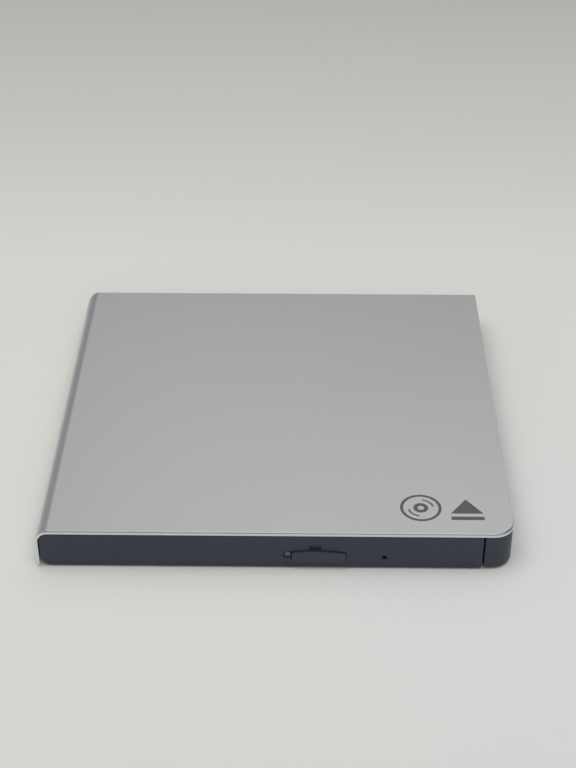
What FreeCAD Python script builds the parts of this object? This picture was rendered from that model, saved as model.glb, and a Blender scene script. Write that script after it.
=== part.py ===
import FreeCAD, Part
import math
import os
import re
import Sketcher

# External slim optical drive, closed, in millimetres. +Z is up, -Y is the front with the tray's
# bezel, and the origin is the centre of the footprint on the surface that the feet stand on.
DIMS = {
    # overall envelope
    "half_width": 72.0, "height": 14.0, "front": 68.2, "rear": 68.75, "foot_gap": 0.4,
    # top cover: a plate whose left side folds down as a spine
    "spine_radius": 4.2, "spine_wall": 1.05, "spine_end": 1.0, "inner_radius": 3.2,
    "lip_level": 12.75, "lip_wall": 1.4, "cover_wall": 1.0, "cover_bevel": 0.4,
    "right_corner": 6.5, "left_corner": 5.5, "hook_reach": 0.7, "hook_length": 8.0,
    "hook_level": 3.0, "hook_height": 0.9, "hook_pitch": 42.0,
    # bottom case
    "case_side": 71.85, "case_front": 68.0, "case_rear": 68.6, "case_top": 12.65, "case_wall": 1.5,
    "floor_top": 2.0, "edge_round": 1.0, "seam": 63.2, "bay_front": 63.9, "post_wall": 1.4,
    "block_depth": 12.0, "rib_wall": 0.95, "rib_gap": 0.1, "rib_top": 8.0,
    # case screws, in posts of the bottom case and bosses of the cover
    "strip_x": 66.9, "strip_front": -45.0, "strip_rear": 48.0, "back_y": 64.85,
    "back_left": -58.0, "back_right": 5.0, "boss_radius": 2.2, "boss_end": 5.6, "boss_hole": 1.0,
    "boss_hole_depth": 5.0, "post_radius": 2.6, "post_top": 5.5, "post_hole": 1.2,
    "bore_radius": 2.1, "bore_top": 2.6, "head_radius": 1.9, "head_height": 1.2,
    "screw_radius": 0.95, "screw_length": 7.0, "cross_width": 0.55, "cross_depth": 0.7,
    # feet and rating label
    "foot_x": 60.0, "foot_front": -54.0, "foot_rear": 55.0, "foot_radius": 4.5, "foot_recess": 0.5,
    "foot_bevel": 0.35, "label_x": 36.0, "label_y": 26.0, "label_recess": 0.15, "label_thick": 0.1,
    "label_round": 2.0,
    # mechanism chassis, centred on mech_x
    "mech_x": -4.8, "pan_half": 64.0, "pan_front": -63.4, "pan_rear": 62.0, "sheet": 0.6,
    "pan_top": 11.6, "pan_floor": 2.6, "lid_sheet": 0.5, "lid_skirt": 9.6, "rib_height": 0.3,
    "ear_level": 4.0, "ear_reach": 4.4, "ear_half": 2.6, "ear_hole": 1.1, "ear_offset": 2.4,
    "ear_front": -36.0, "ear_rear": 36.0, "ear_left": -38.0, "ear_right": 22.0,
    "ear_post": 1.9, "ear_screw_head": 1.7, "ear_screw": 0.9, "ear_head_height": 0.8,
    "lid_disc_radius": 52.0, "lid_disc_rise": 0.15,
    # rail guides and telescoping rails; distances are from mech_x
    "guide_back": 63.4, "guide_wall": 0.8, "guide_reach": 60.4, "guide_top": 7.95,
    "guide_floor": 3.75, "guide_roof": 7.25, "guide_front": -62.0, "guide_rear": 48.0,
    "rail_back": 62.45, "rail_wall": 0.6, "rail_reach": 59.7, "rail_low": 3.9, "rail_high": 7.1,
    "rail_front": -60.0, "rail_rear": 52.0, "rail_slot": 9.0, "rail_slot_half": 0.7,
    # tray drawer
    "tray_half": 62.6, "tray_back": 60.5, "tray_front": -64.2, "tray_top": 11.1, "plate_under": 8.1,
    "body_half": 59.0, "body_wall": 1.2, "body_rear": 28.0, "body_low": 3.9, "strip_low": 4.3,
    "runner_reach": 61.7, "runner_low": 4.6, "runner_high": 6.4, "runner_front": -60.0,
    "runner_rear": 58.0, "disc_y": -1.9, "recess_radius": 60.7, "recess_floor": 9.0,
    "mini_radius": 40.7, "mini_floor": 8.7, "hub_window": 17.0, "window_start": 8.0,
    "window_end": 61.0, "window_half": 12.0, "window_round": 3.0, "plate_post": 2.0,
    "plate_post_x": 54.0, "plate_post_front": -58.0, "plate_post_rear": 22.0,
    "scallop_radius": 9.0, "scallop_out": 57.5,
    # tray underside cover
    "under_level": 3.5, "under_sheet": 0.4, "under_inset": 0.3,
    "tray_screw_head": 1.7, "tray_screw": 0.8, "tray_screw_length": 3.4, "tray_head_height": 0.35,
    # bezel on the tray's front
    "bezel_left": -70.7, "bezel_right": 62.7, "bezel_low": 0.45, "bezel_high": 12.55,
    "bezel_wall": 1.2, "bezel_corner": 3.0, "bezel_foot": 3.5, "bezel_edge": 0.35, "bezel_toe": 1.2,
    "cavity_left": 1.0, "cavity_right": 24.0,
    # eject button, light pipe and emergency hole, in the bezel
    "button_left": 5.2, "button_right": 21.5, "button_low": 2.7, "button_side": 6.2,
    "button_peak": 6.85, "button_arch": 30.0, "button_gap": 0.17, "button_proud": 0.75,
    "button_back": 65.4, "button_round": 0.8, "pocket_left": 2.6, "pocket_depth": 0.55,
    "notch_left": 10.4, "notch_right": 14.1, "notch_top": 9.1, "notch_depth": 0.5,
    "stem_x": 13.6, "stem_half": 1.3, "stem_low": 4.9, "stem_high": 6.4, "stem_end": 63.35,
    "lamp_x": 4.05, "lamp_z": 5.35, "lamp_radius": 0.9, "lamp_stem": 0.5, "lamp_end": 61.9,
    "pin_hole_x": 33.2, "pin_hole_z": 4.2, "pin_hole_radius": 0.65,
    "pin_sink_depth": 0.35,
    # button board behind the bezel
    "panel_left": 0.5, "panel_right": 25.5, "panel_front": 62.6, "panel_back": 55.0,
    "panel_level": 4.2, "panel_thick": 0.6, "switch_half": 2.2, "switch_front": 62.3,
    "switch_back": 59.2, "switch_high": 6.7, "plunger_half": 0.9, "plunger_back": 61.4,
    "plunger_low": 5.1, "plunger_high": 6.2, "led_half": 0.8, "led_back": 60.3, "led_high": 6.4,
    # main board
    "board_left": -60.0, "board_right": 50.0, "board_front": 31.0, "board_rear": 60.2,
    "board_level": 3.2, "board_thick": 1.0, "board_screw_x": 51.0,
    "board_screw_front": 34.5, "board_screw_rear": 56.5, "standoff": 1.9,
    "zif_front": 31.6, "zif_back": 36.6, "zif_high": 5.7, "flex_x": -4.0, "zif_half": 11.5,
    # mini USB receptacle at the rear
    "port_x": 38.0, "port_half": 3.85, "port_low": 4.2, "port_high": 8.05, "port_front": 59.3,
    "port_rear": 68.45, "port_skin": 0.3, "port_waist": 5.6, "port_foot": 2.9,
    "tongue_half": 1.9, "tongue_low": 6.1, "tongue_high": 6.9, "contact_half": 0.15,
    "contact_pitch": 0.8, "contact_thick": 0.12, "port_gap": 0.35,
    # flat flexible cable between the main board and the tray
    "flex_half": 10.0, "flex_thick": 0.15, "flex_run": 2.62, "flex_return": 3.3,
    "flex_fold": -40.0, "flex_lift": 4.75, "flex_plug": 20.5,
    "flex_socket": 25.5,
    # optical traverse, in a frame turned about the disc centre: u along the sled, v across it
    "sled_turn": 225.0, "frame_low": 4.7, "frame_high": 5.5, "frame_back": -24.0, "frame_end": 67.5,
    "frame_left": -18.5, "frame_right": 22.0, "well_radius": 12.7, "sled_start": 13.0,
    "sled_end": 65.0, "sled_half": 12.2, "rod_v": 14.2, "rod_z": 6.65, "rod_radius": 0.75,
    "rod_start": 11.0, "rod_end": 65.5, "clamp_half": 1.5, "clamp_length": 2.4, "clamp_top": 7.9,
    "damper_radius": 2.9, "damper_waist": 2.3, "damper_top": 6.3, "damper_low": 4.3,
    "mount_post": 1.9, "damper_back_u": -19.4, "damper_back_v": 0.0, "damper_left_u": 42.0,
    "damper_left_v": -21.0, "damper_right_u": 26.0, "damper_right_v": 24.0, "damper_ear": 4.5,
    # spindle motor
    "motor_level": 4.1, "motor_sheet": 0.6, "sleeve_radius": 3.2,
    "shaft_radius": 1.5, "fit_gap": 0.03, "sleeve_top": 8.0, "core_low": 5.6, "core_high": 6.6,
    "core_radius": 9.4, "core_hub": 4.6, "tooth_half": 0.7, "tip_half": 2.5, "tip_depth": 0.8,
    "teeth": 9, "coil_half": 1.25, "coil_low": 5.15, "coil_high": 7.05, "coil_start": 5.3,
    "coil_end": 8.3, "cup_radius": 11.2, "cup_wall": 0.5, "cup_low": 5.0, "cup_under": 8.3,
    "cup_top": 9.1, "magnet_inner": 9.8, "magnet_low": 5.2, "magnet_high": 7.6, "shaft_low": 4.8,
    "disc_level": 9.6, "pad_inner": 8.2, "pad_outer": 11.0, "pad_low": 9.1,
    "hub_radius": 7.4, "hub_step": 10.8, "hub_neck": 7.0, "hub_top": 11.35, "hub_nose": 5.4,
    "claw_half": 1.3, "claw_gap": 0.12, "claw_inner": 4.2, "claw_back": 5.0, "claw_low": 9.7,
    "claw_step": 10.87, "claw_reach": 7.8, "claw_face": 7.3, "claw_high": 11.2,
    # sled drive
    "screw_v": 19.0, "thread_radius": 0.9, "thread_lead": 3.0, "thread_start": 13.5,
    "thread_turns": 13, "journal_radius": 0.5, "journal_start": 11.2,
    "stepper_start": 55.0, "stepper_end": 64.0, "stepper_half": 2.9, "stepper_low": 5.5,
    "stepper_high": 8.0,
    # optical pickup, with the lens at lens_u at rest
    "lens_u": 24.0, "carriage_u": 5.4, "carriage_v": 9.4, "carriage_low": 4.9,
    "carriage_high": 7.7, "arm_back": 9.6, "arm_front": 4.6, "arm_low": 5.65, "arm_high": 7.6,
    "arm_reach": 15.9, "fork_half": 1.8, "bay_u": 3.9, "bay_v": 5.4, "bay_floor": 5.9, "shield_high": 7.95,
    "holder_u": 2.9, "holder_v": 4.4, "holder_low": 6.9, "holder_high": 8.3, "lens_radius": 2.1,
    "lens_seat": 8.05, "lens_rise": 0.45,
    "follower_u": 7.0, "follower_half": 2.4, "follower_low": 6.2, "follower_high": 7.4, "follower_gap": 0.12,
    # latch: a sprung lever on the tray that hooks a pin on the chassis, and its solenoid
    "catch_x": 33.5, "catch_y": -46.0, "catch_radius": 1.2, "catch_top": 6.6,
    "channel_half": 2.2, "pivot_x": 39.0, "pivot_y": -57.3, "pivot_radius": 1.4,
    "lever_low": 4.4, "lever_high": 6.2, "lever_boss": 2.7, "lever_half": 1.5, "hook_back": -42.2,
    "hook_face": -44.6, "hook_tip": 32.4, "tail_tip": 31.6, "tail_half": 0.9, "tail_y": -59.4,
    "coil_radius": 2.1, "wire_radius": 0.16, "coil_start_z": 6.45, "coil_pitch": 0.45,
    "coil_height": 1.35, "solenoid_left": 44.2, "solenoid_right": 52.4, "solenoid_y": -50.0,
    "solenoid_half": 3.6, "solenoid_low": 4.1, "solenoid_high": 7.9, "core_z": 5.9,
    "core_rod": 1.1, "core_head": 1.8, "core_tip": 36.7, "core_end": 49.0,
    "core_head_length": 0.7,
}

doc = FreeCAD.newDocument("optical_drive")
sheet = doc.addObject("Spreadsheet::Sheet", "Dim")
for row, (alias, size) in enumerate(DIMS.items(), start=1):
    sheet.set(f"A{row}", alias)
    sheet.set(f"B{row}", str(size))
    sheet.setAlias(f"B{row}", alias)
doc.recompute()

WORDS = re.compile(r"[A-Za-z_]+")
nodes = []


def formula(text):
    """An expression with the sheet's name put before each alias."""
    return WORDS.sub(lambda m: f"Dim.{m.group()}" if m.group() in DIMS else m.group(), text)


def size_of(text):
    """The number that an expression gives, in millimetres or degrees."""
    found = sheet.evalExpression(formula(text))
    return float(getattr(found, "Value", found))


def bind(thing, prop, text):
    thing.setExpression(prop, formula(text))


def place(thing, x="0", y="0", z="0", turn=None):
    """Puts an object at a point, turned about Z."""
    if turn is not None:
        thing.Placement = FreeCAD.Placement(
            FreeCAD.Vector(), FreeCAD.Rotation(FreeCAD.Vector(0, 0, 1), size_of(turn))
        )
    for letter, text in zip("xyz", (x, y, z)):
        bind(thing, f"Placement.Base.{letter}", text)
    return thing


def keep(thing, label):
    """Names an object as a sub-part, which is written to a file of its own."""
    thing.Label = label
    nodes.append(thing)
    return thing


# ---------------------------------------------------------------- Part primitives and booleans
def box(x, y, z, dx, dy, dz):
    made = doc.addObject("Part::Box", "block")
    for prop, text in (("Length", dx), ("Width", dy), ("Height", dz)):
        bind(made, prop, text)
    return place(made, x, y, z)


TURNS = {
    "z": FreeCAD.Rotation(),
    "x": FreeCAD.Rotation(FreeCAD.Vector(0, 1, 0), 90),
    "y": FreeCAD.Rotation(FreeCAD.Vector(1, 0, 0), -90),
}


def rod(axis, x, y, z, radius, length):
    """A cylinder from a point along +X, +Y or +Z."""
    made = doc.addObject("Part::Cylinder", "rod")
    bind(made, "Radius", radius)
    bind(made, "Height", length)
    made.Placement = FreeCAD.Placement(FreeCAD.Vector(), TURNS[axis])
    return place(made, x, y, z)


def cut(base, *tools):
    made = doc.addObject("Part::Cut", "cut")
    made.Base = base
    made.Tool = tools[0] if len(tools) == 1 else fuse(*tools)
    return made


def fuse(*shapes):
    made = doc.addObject("Part::MultiFuse", "fuse")
    made.Shapes = list(shapes)
    return made


def group(*shapes):
    made = doc.addObject("Part::Compound", "group")
    made.Links = list(shapes)
    return made


# ---------------------------------------------------------------- PartDesign bodies
def body(label):
    made = doc.addObject("PartDesign::Body", label)
    return keep(made, label)


def corner_round(a, b, c, radius):
    """Tangent points, centre and turning side of an arc that rounds corner b."""
    before, after = (a - b).normalize(), (c - b).normalize()
    half = before.getAngle(after) / 2
    reach = radius / math.tan(half)
    middle = (before + after).normalize()
    left = (b - a).cross(c - b).z > 0
    return b + before * reach, b + after * reach, b + middle * (radius / math.sin(half)), left


def outline(sk, corners):
    """A closed outline of straight runs; a corner with a third value is rounded to that radius."""
    points = [FreeCAD.Vector(size_of(c[0]), size_of(c[1]), 0) for c in corners]
    count, ends, arcs = len(points), [], {}
    for i, corner in enumerate(corners):
        if len(corner) == 3:
            arcs[i] = corner_round(points[i - 1], points[i], points[(i + 1) % count],
                                   size_of(corner[2]))
            ends.append(arcs[i][:2])
        else:
            ends.append((points[i], points[i]))
    lines = [
        sk.addGeometry(Part.LineSegment(ends[i][1], ends[(i + 1) % count][0]))
        for i in range(count)
    ]
    for i, corner in enumerate(corners):
        before, after = lines[i - 1], lines[i]
        if i in arcs:
            first, last, centre, left = arcs[i]
            start, stop = (first, last) if left else (last, first)
            angles = [math.atan2(p.y - centre.y, p.x - centre.x) for p in (start, stop)]
            if angles[1] < angles[0]:
                angles[1] += 2 * math.pi
            circle = Part.Circle(centre, FreeCAD.Vector(0, 0, 1), size_of(corner[2]))
            arc = sk.addGeometry(Part.ArcOfCircle(circle, *angles))
            sk.addConstraint(Sketcher.Constraint("Tangent", before, 2, arc, 1 if left else 2))
            sk.addConstraint(Sketcher.Constraint("Tangent", after, 1, arc, 2 if left else 1))
            rule = sk.addConstraint(Sketcher.Constraint("Radius", arc, size_of(corner[2])))
            bind(sk, f"Constraints[{rule}]", corner[2])
            at = (sk.addGeometry(Part.Point(points[i]), True), 1)
            for line in (before, after):
                sk.addConstraint(Sketcher.Constraint("PointOnObject", *at, line))
        else:
            at = (after, 1)
            sk.addConstraint(Sketcher.Constraint("Coincident", before, 2, after, 1))
        for kind, text, value in (("DistanceX", corner[0], points[i].x),
                                  ("DistanceY", corner[1], points[i].y)):
            rule = sk.addConstraint(Sketcher.Constraint(kind, -1, 1, *at, value))
            bind(sk, f"Constraints[{rule}]", text)


def ring(sk, x, y, radius):
    """A circle in a sketch."""
    centre = FreeCAD.Vector(size_of(x), size_of(y), 0)
    made = sk.addGeometry(Part.Circle(centre, FreeCAD.Vector(0, 0, 1), size_of(radius)))
    rule = sk.addConstraint(Sketcher.Constraint("Radius", made, size_of(radius)))
    bind(sk, f"Constraints[{rule}]", radius)
    for kind, text, value in (("DistanceX", x, centre.x), ("DistanceY", y, centre.y)):
        rule = sk.addConstraint(Sketcher.Constraint(kind, -1, 1, made, 3, value))
        bind(sk, f"Constraints[{rule}]", text)


def sketch(part, plane, level, *loops, turned=False):
    """A sketch on XY, XZ or YZ at a level: Z, Y or X. A loop is an outline or a circle's x, y, r.
    turned puts an XY sketch in the traverse's own frame."""
    sk = part.newObject("Sketcher::SketchObject", "sketch")
    base = next(f for f in part.Origin.OriginFeatures if f.Role == plane + "_Plane")
    sk.AttachmentSupport = [(base, "")]
    sk.MapMode = "FlatFace"
    if turned:
        spin = FreeCAD.Rotation(FreeCAD.Vector(0, 0, 1), size_of("sled_turn"))
        sk.AttachmentOffset = FreeCAD.Placement(FreeCAD.Vector(), spin)
        bind(sk, "AttachmentOffset.Base.x", "mech_x")
        bind(sk, "AttachmentOffset.Base.y", "disc_y")
    bind(sk, "AttachmentOffset.Base.z", f"-({level})" if plane == "XZ" else level)
    for loop in loops:
        if isinstance(loop, tuple):
            ring(sk, *loop)
        else:
            outline(sk, loop)
    return sk


def rectangle(x0, y0, x1, y1, radius=None):
    """The four corners of a rectangle, rounded if a radius is given."""
    extra = () if radius is None else (radius,)
    return [(x0, y0, *extra), (x1, y0, *extra), (x1, y1, *extra), (x0, y1, *extra)]


def extrude(part, sk, kind, length, along):
    before = part.Shape.Volume if part.Tip else 0.0
    made = part.newObject("PartDesign::" + kind, kind.lower())
    made.Profile = sk
    if length is None:
        made.Type = "ThroughAll"
    else:
        bind(made, "Length", length)
    made.Reversed = along if kind == "Pocket" else not along
    doc.recompute()
    change = part.Shape.Volume - before
    if (change > 0) != (kind == "Pad") or abs(change) < 1e-6:
        raise RuntimeError(f"{part.Label}: a {kind} is {made.State} and changed {change:.3f} mm3")
    return made


def pad(part, sk, length, along=True):
    """Adds material from a sketch along its plane's normal, or against it."""
    return extrude(part, sk, "Pad", length, along)


def pocket(part, sk, length=None, along=False):
    """Removes material from a sketch against its plane's normal, or along it."""
    return extrude(part, sk, "Pocket", length, along)


def edges(part, test):
    """Names of the edges of a body whose bounding box passes a test."""
    return [f"Edge{i}" for i, e in enumerate(part.Shape.Edges, start=1) if test(e.BoundBox, e)]


def dress(part, kind, names, prop, text):
    base = part.Tip
    made = part.newObject("PartDesign::" + kind, kind.lower())
    made.Base = (base, names)
    bind(made, prop, text)
    doc.recompute()
    return made


def fillet(part, test, radius):
    return dress(part, "Fillet", edges(part, test), "Radius", radius)


def chamfer(part, test, size):
    return dress(part, "Chamfer", edges(part, test), "Size", size)


def at(value, text, slack=0.01):
    """Whether a number is what an expression gives."""
    return abs(value - size_of(text)) < slack


def flat_at(low, high, text):
    return at(low, text) and at(high, text)


def lathe(label, *profiles):
    """A body turned about Z from an outline of radius and height."""
    made = body(label)
    turned = made.newObject("PartDesign::Revolution", "turning")
    turned.Profile = sketch(made, "XZ", "0", *profiles)
    turned.ReferenceAxis = (turned.Profile[0], ["V_Axis"])
    turned.Angle = 360
    doc.recompute()
    return made


def screw(x, y, seat, head_radius, head_height, radius, length, up=True):
    """A pan-head screw with a cross recess. The head stands on its seat level, or hangs below it."""
    head_low = seat if up else f"{seat}-{head_height}"
    shank_low = f"{seat}-({length})" if up else seat
    slot_low = f"{seat}+{head_height}-cross_depth" if up else f"{seat}-{head_height}"
    shape = fuse(rod("z", x, y, head_low, head_radius, head_height),
                 rod("z", x, y, shank_low, radius, length))
    arm = f"{head_radius}*0.6"
    along = box(f"{x}-{arm}", f"{y}-cross_width/2", slot_low, f"{arm}*2", "cross_width", "cross_depth")
    across = box(f"{x}-cross_width/2", f"{y}-{arm}", slot_low, "cross_width", f"{arm}*2", "cross_depth")
    return cut(shape, along, across)


CASE_SCREWS = (("strip_x", "strip_front"), ("strip_x", "strip_rear"),
               ("back_left", "back_y"), ("back_right", "back_y"))
FEET = [(x, y) for x in ("-foot_x", "foot_x") for y in ("foot_front", "foot_rear")]
EARS = (("mech_x+pan_half+ear_offset", "ear_front"), ("mech_x+pan_half+ear_offset", "ear_rear"),
        ("ear_left", "pan_rear+ear_offset"), ("ear_right", "pan_rear+ear_offset"))
BOARD_SCREWS = (("mech_x-board_screw_x", "board_screw_front"), ("mech_x+board_screw_x", "board_screw_front"),
                ("mech_x-board_screw_x", "board_screw_rear"), ("mech_x+board_screw_x", "board_screw_rear"))
TRAY_SCREWS = [(f"mech_x{side}plate_post_x", y) for side in "-+"
               for y in ("plate_post_front", "plate_post_rear")]
DAMPERS = (("damper_back_u", "damper_back_v"), ("damper_left_u", "damper_left_v"),
           ("damper_right_u", "damper_right_v"))


def outside_corner(x, y, radius, way_x, way_y):
    """The region outside a rounded corner; way_x and way_y point outwards."""
    near_x, near_y = f"{x}-({way_x})*({radius}+1)", f"{y}-({way_y})*({radius}+1)"
    far_x, far_y = f"{x}+({way_x})", f"{y}+({way_y})"
    return [(x, near_y), (x, y, radius), (near_x, y), (near_x, far_y), (far_x, far_y), (far_x, near_y)]


def on_sled(thing):
    """Turns an object drawn in u and v about the disc centre into its place on the tray."""
    return place(thing, "mech_x", "disc_y", "0", turn="sled_turn")


def circles(points, radius):
    return [(x, y, radius) for x, y in points]


# ---------------------------------------------------------------- casing
def top_cover():
    made = body("top_cover")
    pad(made, sketch(made, "XZ", "-front", [
        ("-half_width", "spine_end"), ("half_width", "spine_end"), ("half_width", "height"),
        ("-half_width", "height", "spine_radius"),
    ]), "front+rear", along=False)
    pocket(made, sketch(made, "XY", "height+1",
                        outside_corner("half_width", "-front", "right_corner", "1", "-1")))

    def outer_edge(b, edge):
        rim = flat_at(b.ZMin, b.ZMax, "height") and not flat_at(b.XMin, b.XMax, "spine_radius-half_width")
        end = flat_at(b.YMin, b.YMax, "-front") or flat_at(b.YMin, b.YMax, "rear")
        spine = b.XMax < size_of("spine_radius-half_width+1") and b.ZMax > size_of("spine_end+1")
        return rim or end and spine

    chamfer(made, outer_edge, "cover_bevel")
    pocket(made, sketch(made, "XY", "height+1",
                        outside_corner("-half_width", "rear", "left_corner", "-1", "1")))
    inner = "spine_wall-half_width"
    pocket(made, sketch(made, "XZ", "-front-1", [
        (inner, "spine_end-1"), ("half_width+1", "spine_end-1"), ("half_width+1", "lip_level"),
        (inner, "lip_level", "inner_radius"),
    ]))
    pocket(made, sketch(made, "XY", "lip_level", [
        (f"{inner}+inner_radius", "lip_wall-front"),
        ("half_width-lip_wall", "lip_wall-front", "right_corner-lip_wall"),
        ("half_width-lip_wall", "rear-lip_wall"),
        (f"{inner}+inner_radius", "rear-lip_wall"),
    ]), "height-cover_wall-lip_level", along=True)
    bosses = sketch(made, "XY", "height-cover_wall", *circles(CASE_SCREWS, "boss_radius"))
    pad(made, bosses, "height-cover_wall-boss_end", along=False)
    pilots = sketch(made, "XY", "boss_end", *circles(CASE_SCREWS, "boss_hole"))
    pocket(made, pilots, "boss_hole_depth", along=True)
    hooks = [rectangle(y + "-hook_length/2", "hook_level", y + "+hook_length/2", "hook_level+hook_height")
             for y in ("-hook_pitch", "0", "hook_pitch")]
    pad(made, sketch(made, "YZ", inner, *hooks), "hook_reach")


def bottom_case():
    made = body("bottom_case")
    rib = "spine_wall+rib_gap-half_width"
    wall_x, wall_y = "case_side-case_wall", "case_rear-case_wall"
    pad(made, sketch(made, "XY", "foot_gap", [
        (rib, "-bay_front"), ("seam", "-bay_front"), ("seam", "-case_front"), ("case_side", "-case_front"),
        ("case_side", "case_rear"), (rib, "case_rear"),
    ]), "floor_top-foot_gap")
    block_back = "block_depth-case_front"
    pad(made, sketch(made, "XY", "floor_top", [
        ("seam", "-case_front"), ("case_side", "-case_front"), ("case_side", "case_rear"),
        (rib, "case_rear"), (rib, "rear-left_corner"), ("left_corner-half_width", "rear-left_corner"),
        ("left_corner-half_width", wall_y), (wall_x, wall_y),
        (wall_x, "case_wall-case_front", "right_corner-case_wall"),
        ("seam+post_wall", "case_wall-case_front"), ("seam+post_wall", block_back),
        ("seam", block_back),
    ]), "case_top-floor_top")
    left_rib = sketch(made, "XY", "floor_top", rectangle(
        rib, "0.4-bay_front", rib + "+rib_wall", "rear-left_corner"))
    pad(made, left_rib, "rib_top-floor_top")
    slots = [rectangle(y + "-hook_length/2-0.5", "hook_level-0.3", y + "+hook_length/2+0.5",
                       "hook_level+hook_height+0.3") for y in ("-hook_pitch", "0", "hook_pitch")]
    pocket(made, sketch(made, "YZ", rib + "+rib_wall+0.5", *slots), "rib_wall+0.6")
    pocket(made, sketch(made, "XY", "case_top+1",
                        outside_corner("case_side", "-case_front", "right_corner", "1", "-1"),
                        outside_corner(rib, "case_rear", "left_corner-spine_wall-rib_gap", "-1", "1")))
    pocket(made, sketch(made, "XZ", "rear-left_corner-2",
                        outside_corner(rib, "case_top", "inner_radius", "-1", "1")))

    def lower_edge(b, edge):
        if not flat_at(b.ZMin, b.ZMax, "foot_gap"):
            return False
        side = flat_at(b.XMin, b.XMax, rib) or flat_at(b.XMin, b.XMax, "case_side")
        front = flat_at(b.YMin, b.YMax, "-case_front") and b.XMin > 0
        end = flat_at(b.YMin, b.YMax, "case_rear") or front
        return side or end or isinstance(edge.Curve, Part.Circle)

    fillet(made, lower_edge, "edge_round")
    pad(made, sketch(made, "XY", "floor_top", *circles(CASE_SCREWS, "post_radius")), "post_top-floor_top")
    pad(made, sketch(made, "XY", "floor_top", *circles(EARS, "ear_post")), "ear_level-floor_top")
    pocket(made, sketch(made, "XY", "foot_gap", *circles(CASE_SCREWS, "bore_radius")),
           "bore_top-foot_gap", along=True)
    pocket(made, sketch(made, "XY", "post_top+1", *circles(CASE_SCREWS, "post_hole")))
    pocket(made, sketch(made, "XY", "ear_level", *circles(EARS, "ear_screw-0.05")), "ear_level-floor_top+0.4")
    pocket(made, sketch(made, "XY", "foot_gap", *circles(FEET, "foot_radius+0.1")), "foot_recess", along=True)
    label = rectangle("-label_x-0.1", "-label_y-0.1", "label_x+0.1", "label_y+0.1", "label_round")
    pocket(made, sketch(made, "XY", "foot_gap", label), "label_recess", along=True)
    pocket(made, sketch(made, "XZ", wall_y + "-1", rectangle(
        "port_x-port_half-port_gap", "port_low-port_gap", "port_x+port_half+port_gap",
        "port_high+port_gap", "0.5")))


def feet_and_label():
    top = "foot_gap+foot_recess"
    feet = [
        fuse(rod("z", x, y, "foot_bevel", "foot_radius", f"{top}-foot_bevel"),
             rod("z", x, y, "0", "foot_radius-foot_bevel", top))
        for x, y in FEET
    ]
    keep(group(*feet), "rubber_feet")
    label = body("rating_label")
    pad(label, sketch(label, "XY", "foot_gap+label_recess-label_thick", rectangle(
        "-label_x", "-label_y", "label_x", "label_y", "label_round")), "label_thick")


def screws():
    keep(group(*[
        screw(x, y, "bore_top", "head_radius", "head_height", "screw_radius", "screw_length", up=False)
        for x, y in CASE_SCREWS
    ]), "case_screws")
    keep(group(*[
        screw(x, y, "ear_level+sheet", "ear_screw_head", "ear_head_height", "ear_screw-0.1", "2.4")
        for x, y in EARS
    ]), "chassis_screws")
    keep(group(*[
        screw(x, y, "board_level+board_thick", "ear_screw_head", "ear_head_height", "ear_screw-0.1", "1.9")
        for x, y in BOARD_SCREWS
    ]), "board_screws")
    keep(group(*[
        screw(x, y, "under_level+tray_head_height-0.2", "tray_screw_head", "tray_head_height",
              "tray_screw", "tray_screw_length", up=False)
        for x, y in TRAY_SCREWS
    ]), "tray_screws")
    keep(on_sled(group(*[
        screw(u, v, "damper_low", "ear_screw_head", "tray_head_height", "tray_screw", "3.7", up=False)
        for u, v in DAMPERS
    ])), "damper_screws")


def usb_port():
    made = body("usb_shell")
    skin = "port_skin"
    foot, waist = "port_foot", "port_waist"
    outer = [
        ("port_x-" + foot, "port_low"), ("port_x+" + foot, "port_low"), ("port_x+port_half", waist),
        ("port_x+port_half", "port_high"), ("port_x-port_half", "port_high"), ("port_x-port_half", waist),
    ]
    inner = [
        (f"port_x-{foot}+{skin}", f"port_low+{skin}"), (f"port_x+{foot}-{skin}", f"port_low+{skin}"),
        (f"port_x+port_half-{skin}", waist), (f"port_x+port_half-{skin}", f"port_high-{skin}"),
        (f"port_x-port_half+{skin}", f"port_high-{skin}"), (f"port_x-port_half+{skin}", waist),
    ]
    pad(made, sketch(made, "XZ", "port_front", outer), "port_rear-port_front", along=False)
    pocket(made, sketch(made, "XZ", "port_front+1.6", inner))
    tongue = body("usb_insert")
    pad(tongue, sketch(tongue, "XZ", "port_front+1.65", rectangle(
        "port_x-tongue_half", "tongue_low", "port_x+tongue_half", "tongue_high")),
        "port_rear-port_front-2.9", along=False)
    block = [
        (f"port_x-{foot}+{skin}+0.05", f"port_low+{skin}+0.05"),
        (f"port_x+{foot}-{skin}-0.05", f"port_low+{skin}+0.05"),
        (f"port_x+port_half-{skin}-0.05", waist), (f"port_x+port_half-{skin}-0.05", f"port_high-{skin}-0.05"),
        (f"port_x-port_half+{skin}+0.05", f"port_high-{skin}-0.05"), (f"port_x-port_half+{skin}+0.05", waist),
    ]
    pad(tongue, sketch(tongue, "XZ", "port_front+1.65", block), "1.2", along=False)
    keep(group(*[
        box(f"port_x+{n}*contact_pitch-contact_half", "port_front+3", "tongue_low-contact_thick",
            "contact_half*2", "port_rear-port_front-4.6", "contact_thick")
        for n in (-2, -1, 0, 1, 2)
    ]), "usb_contacts")


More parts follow.
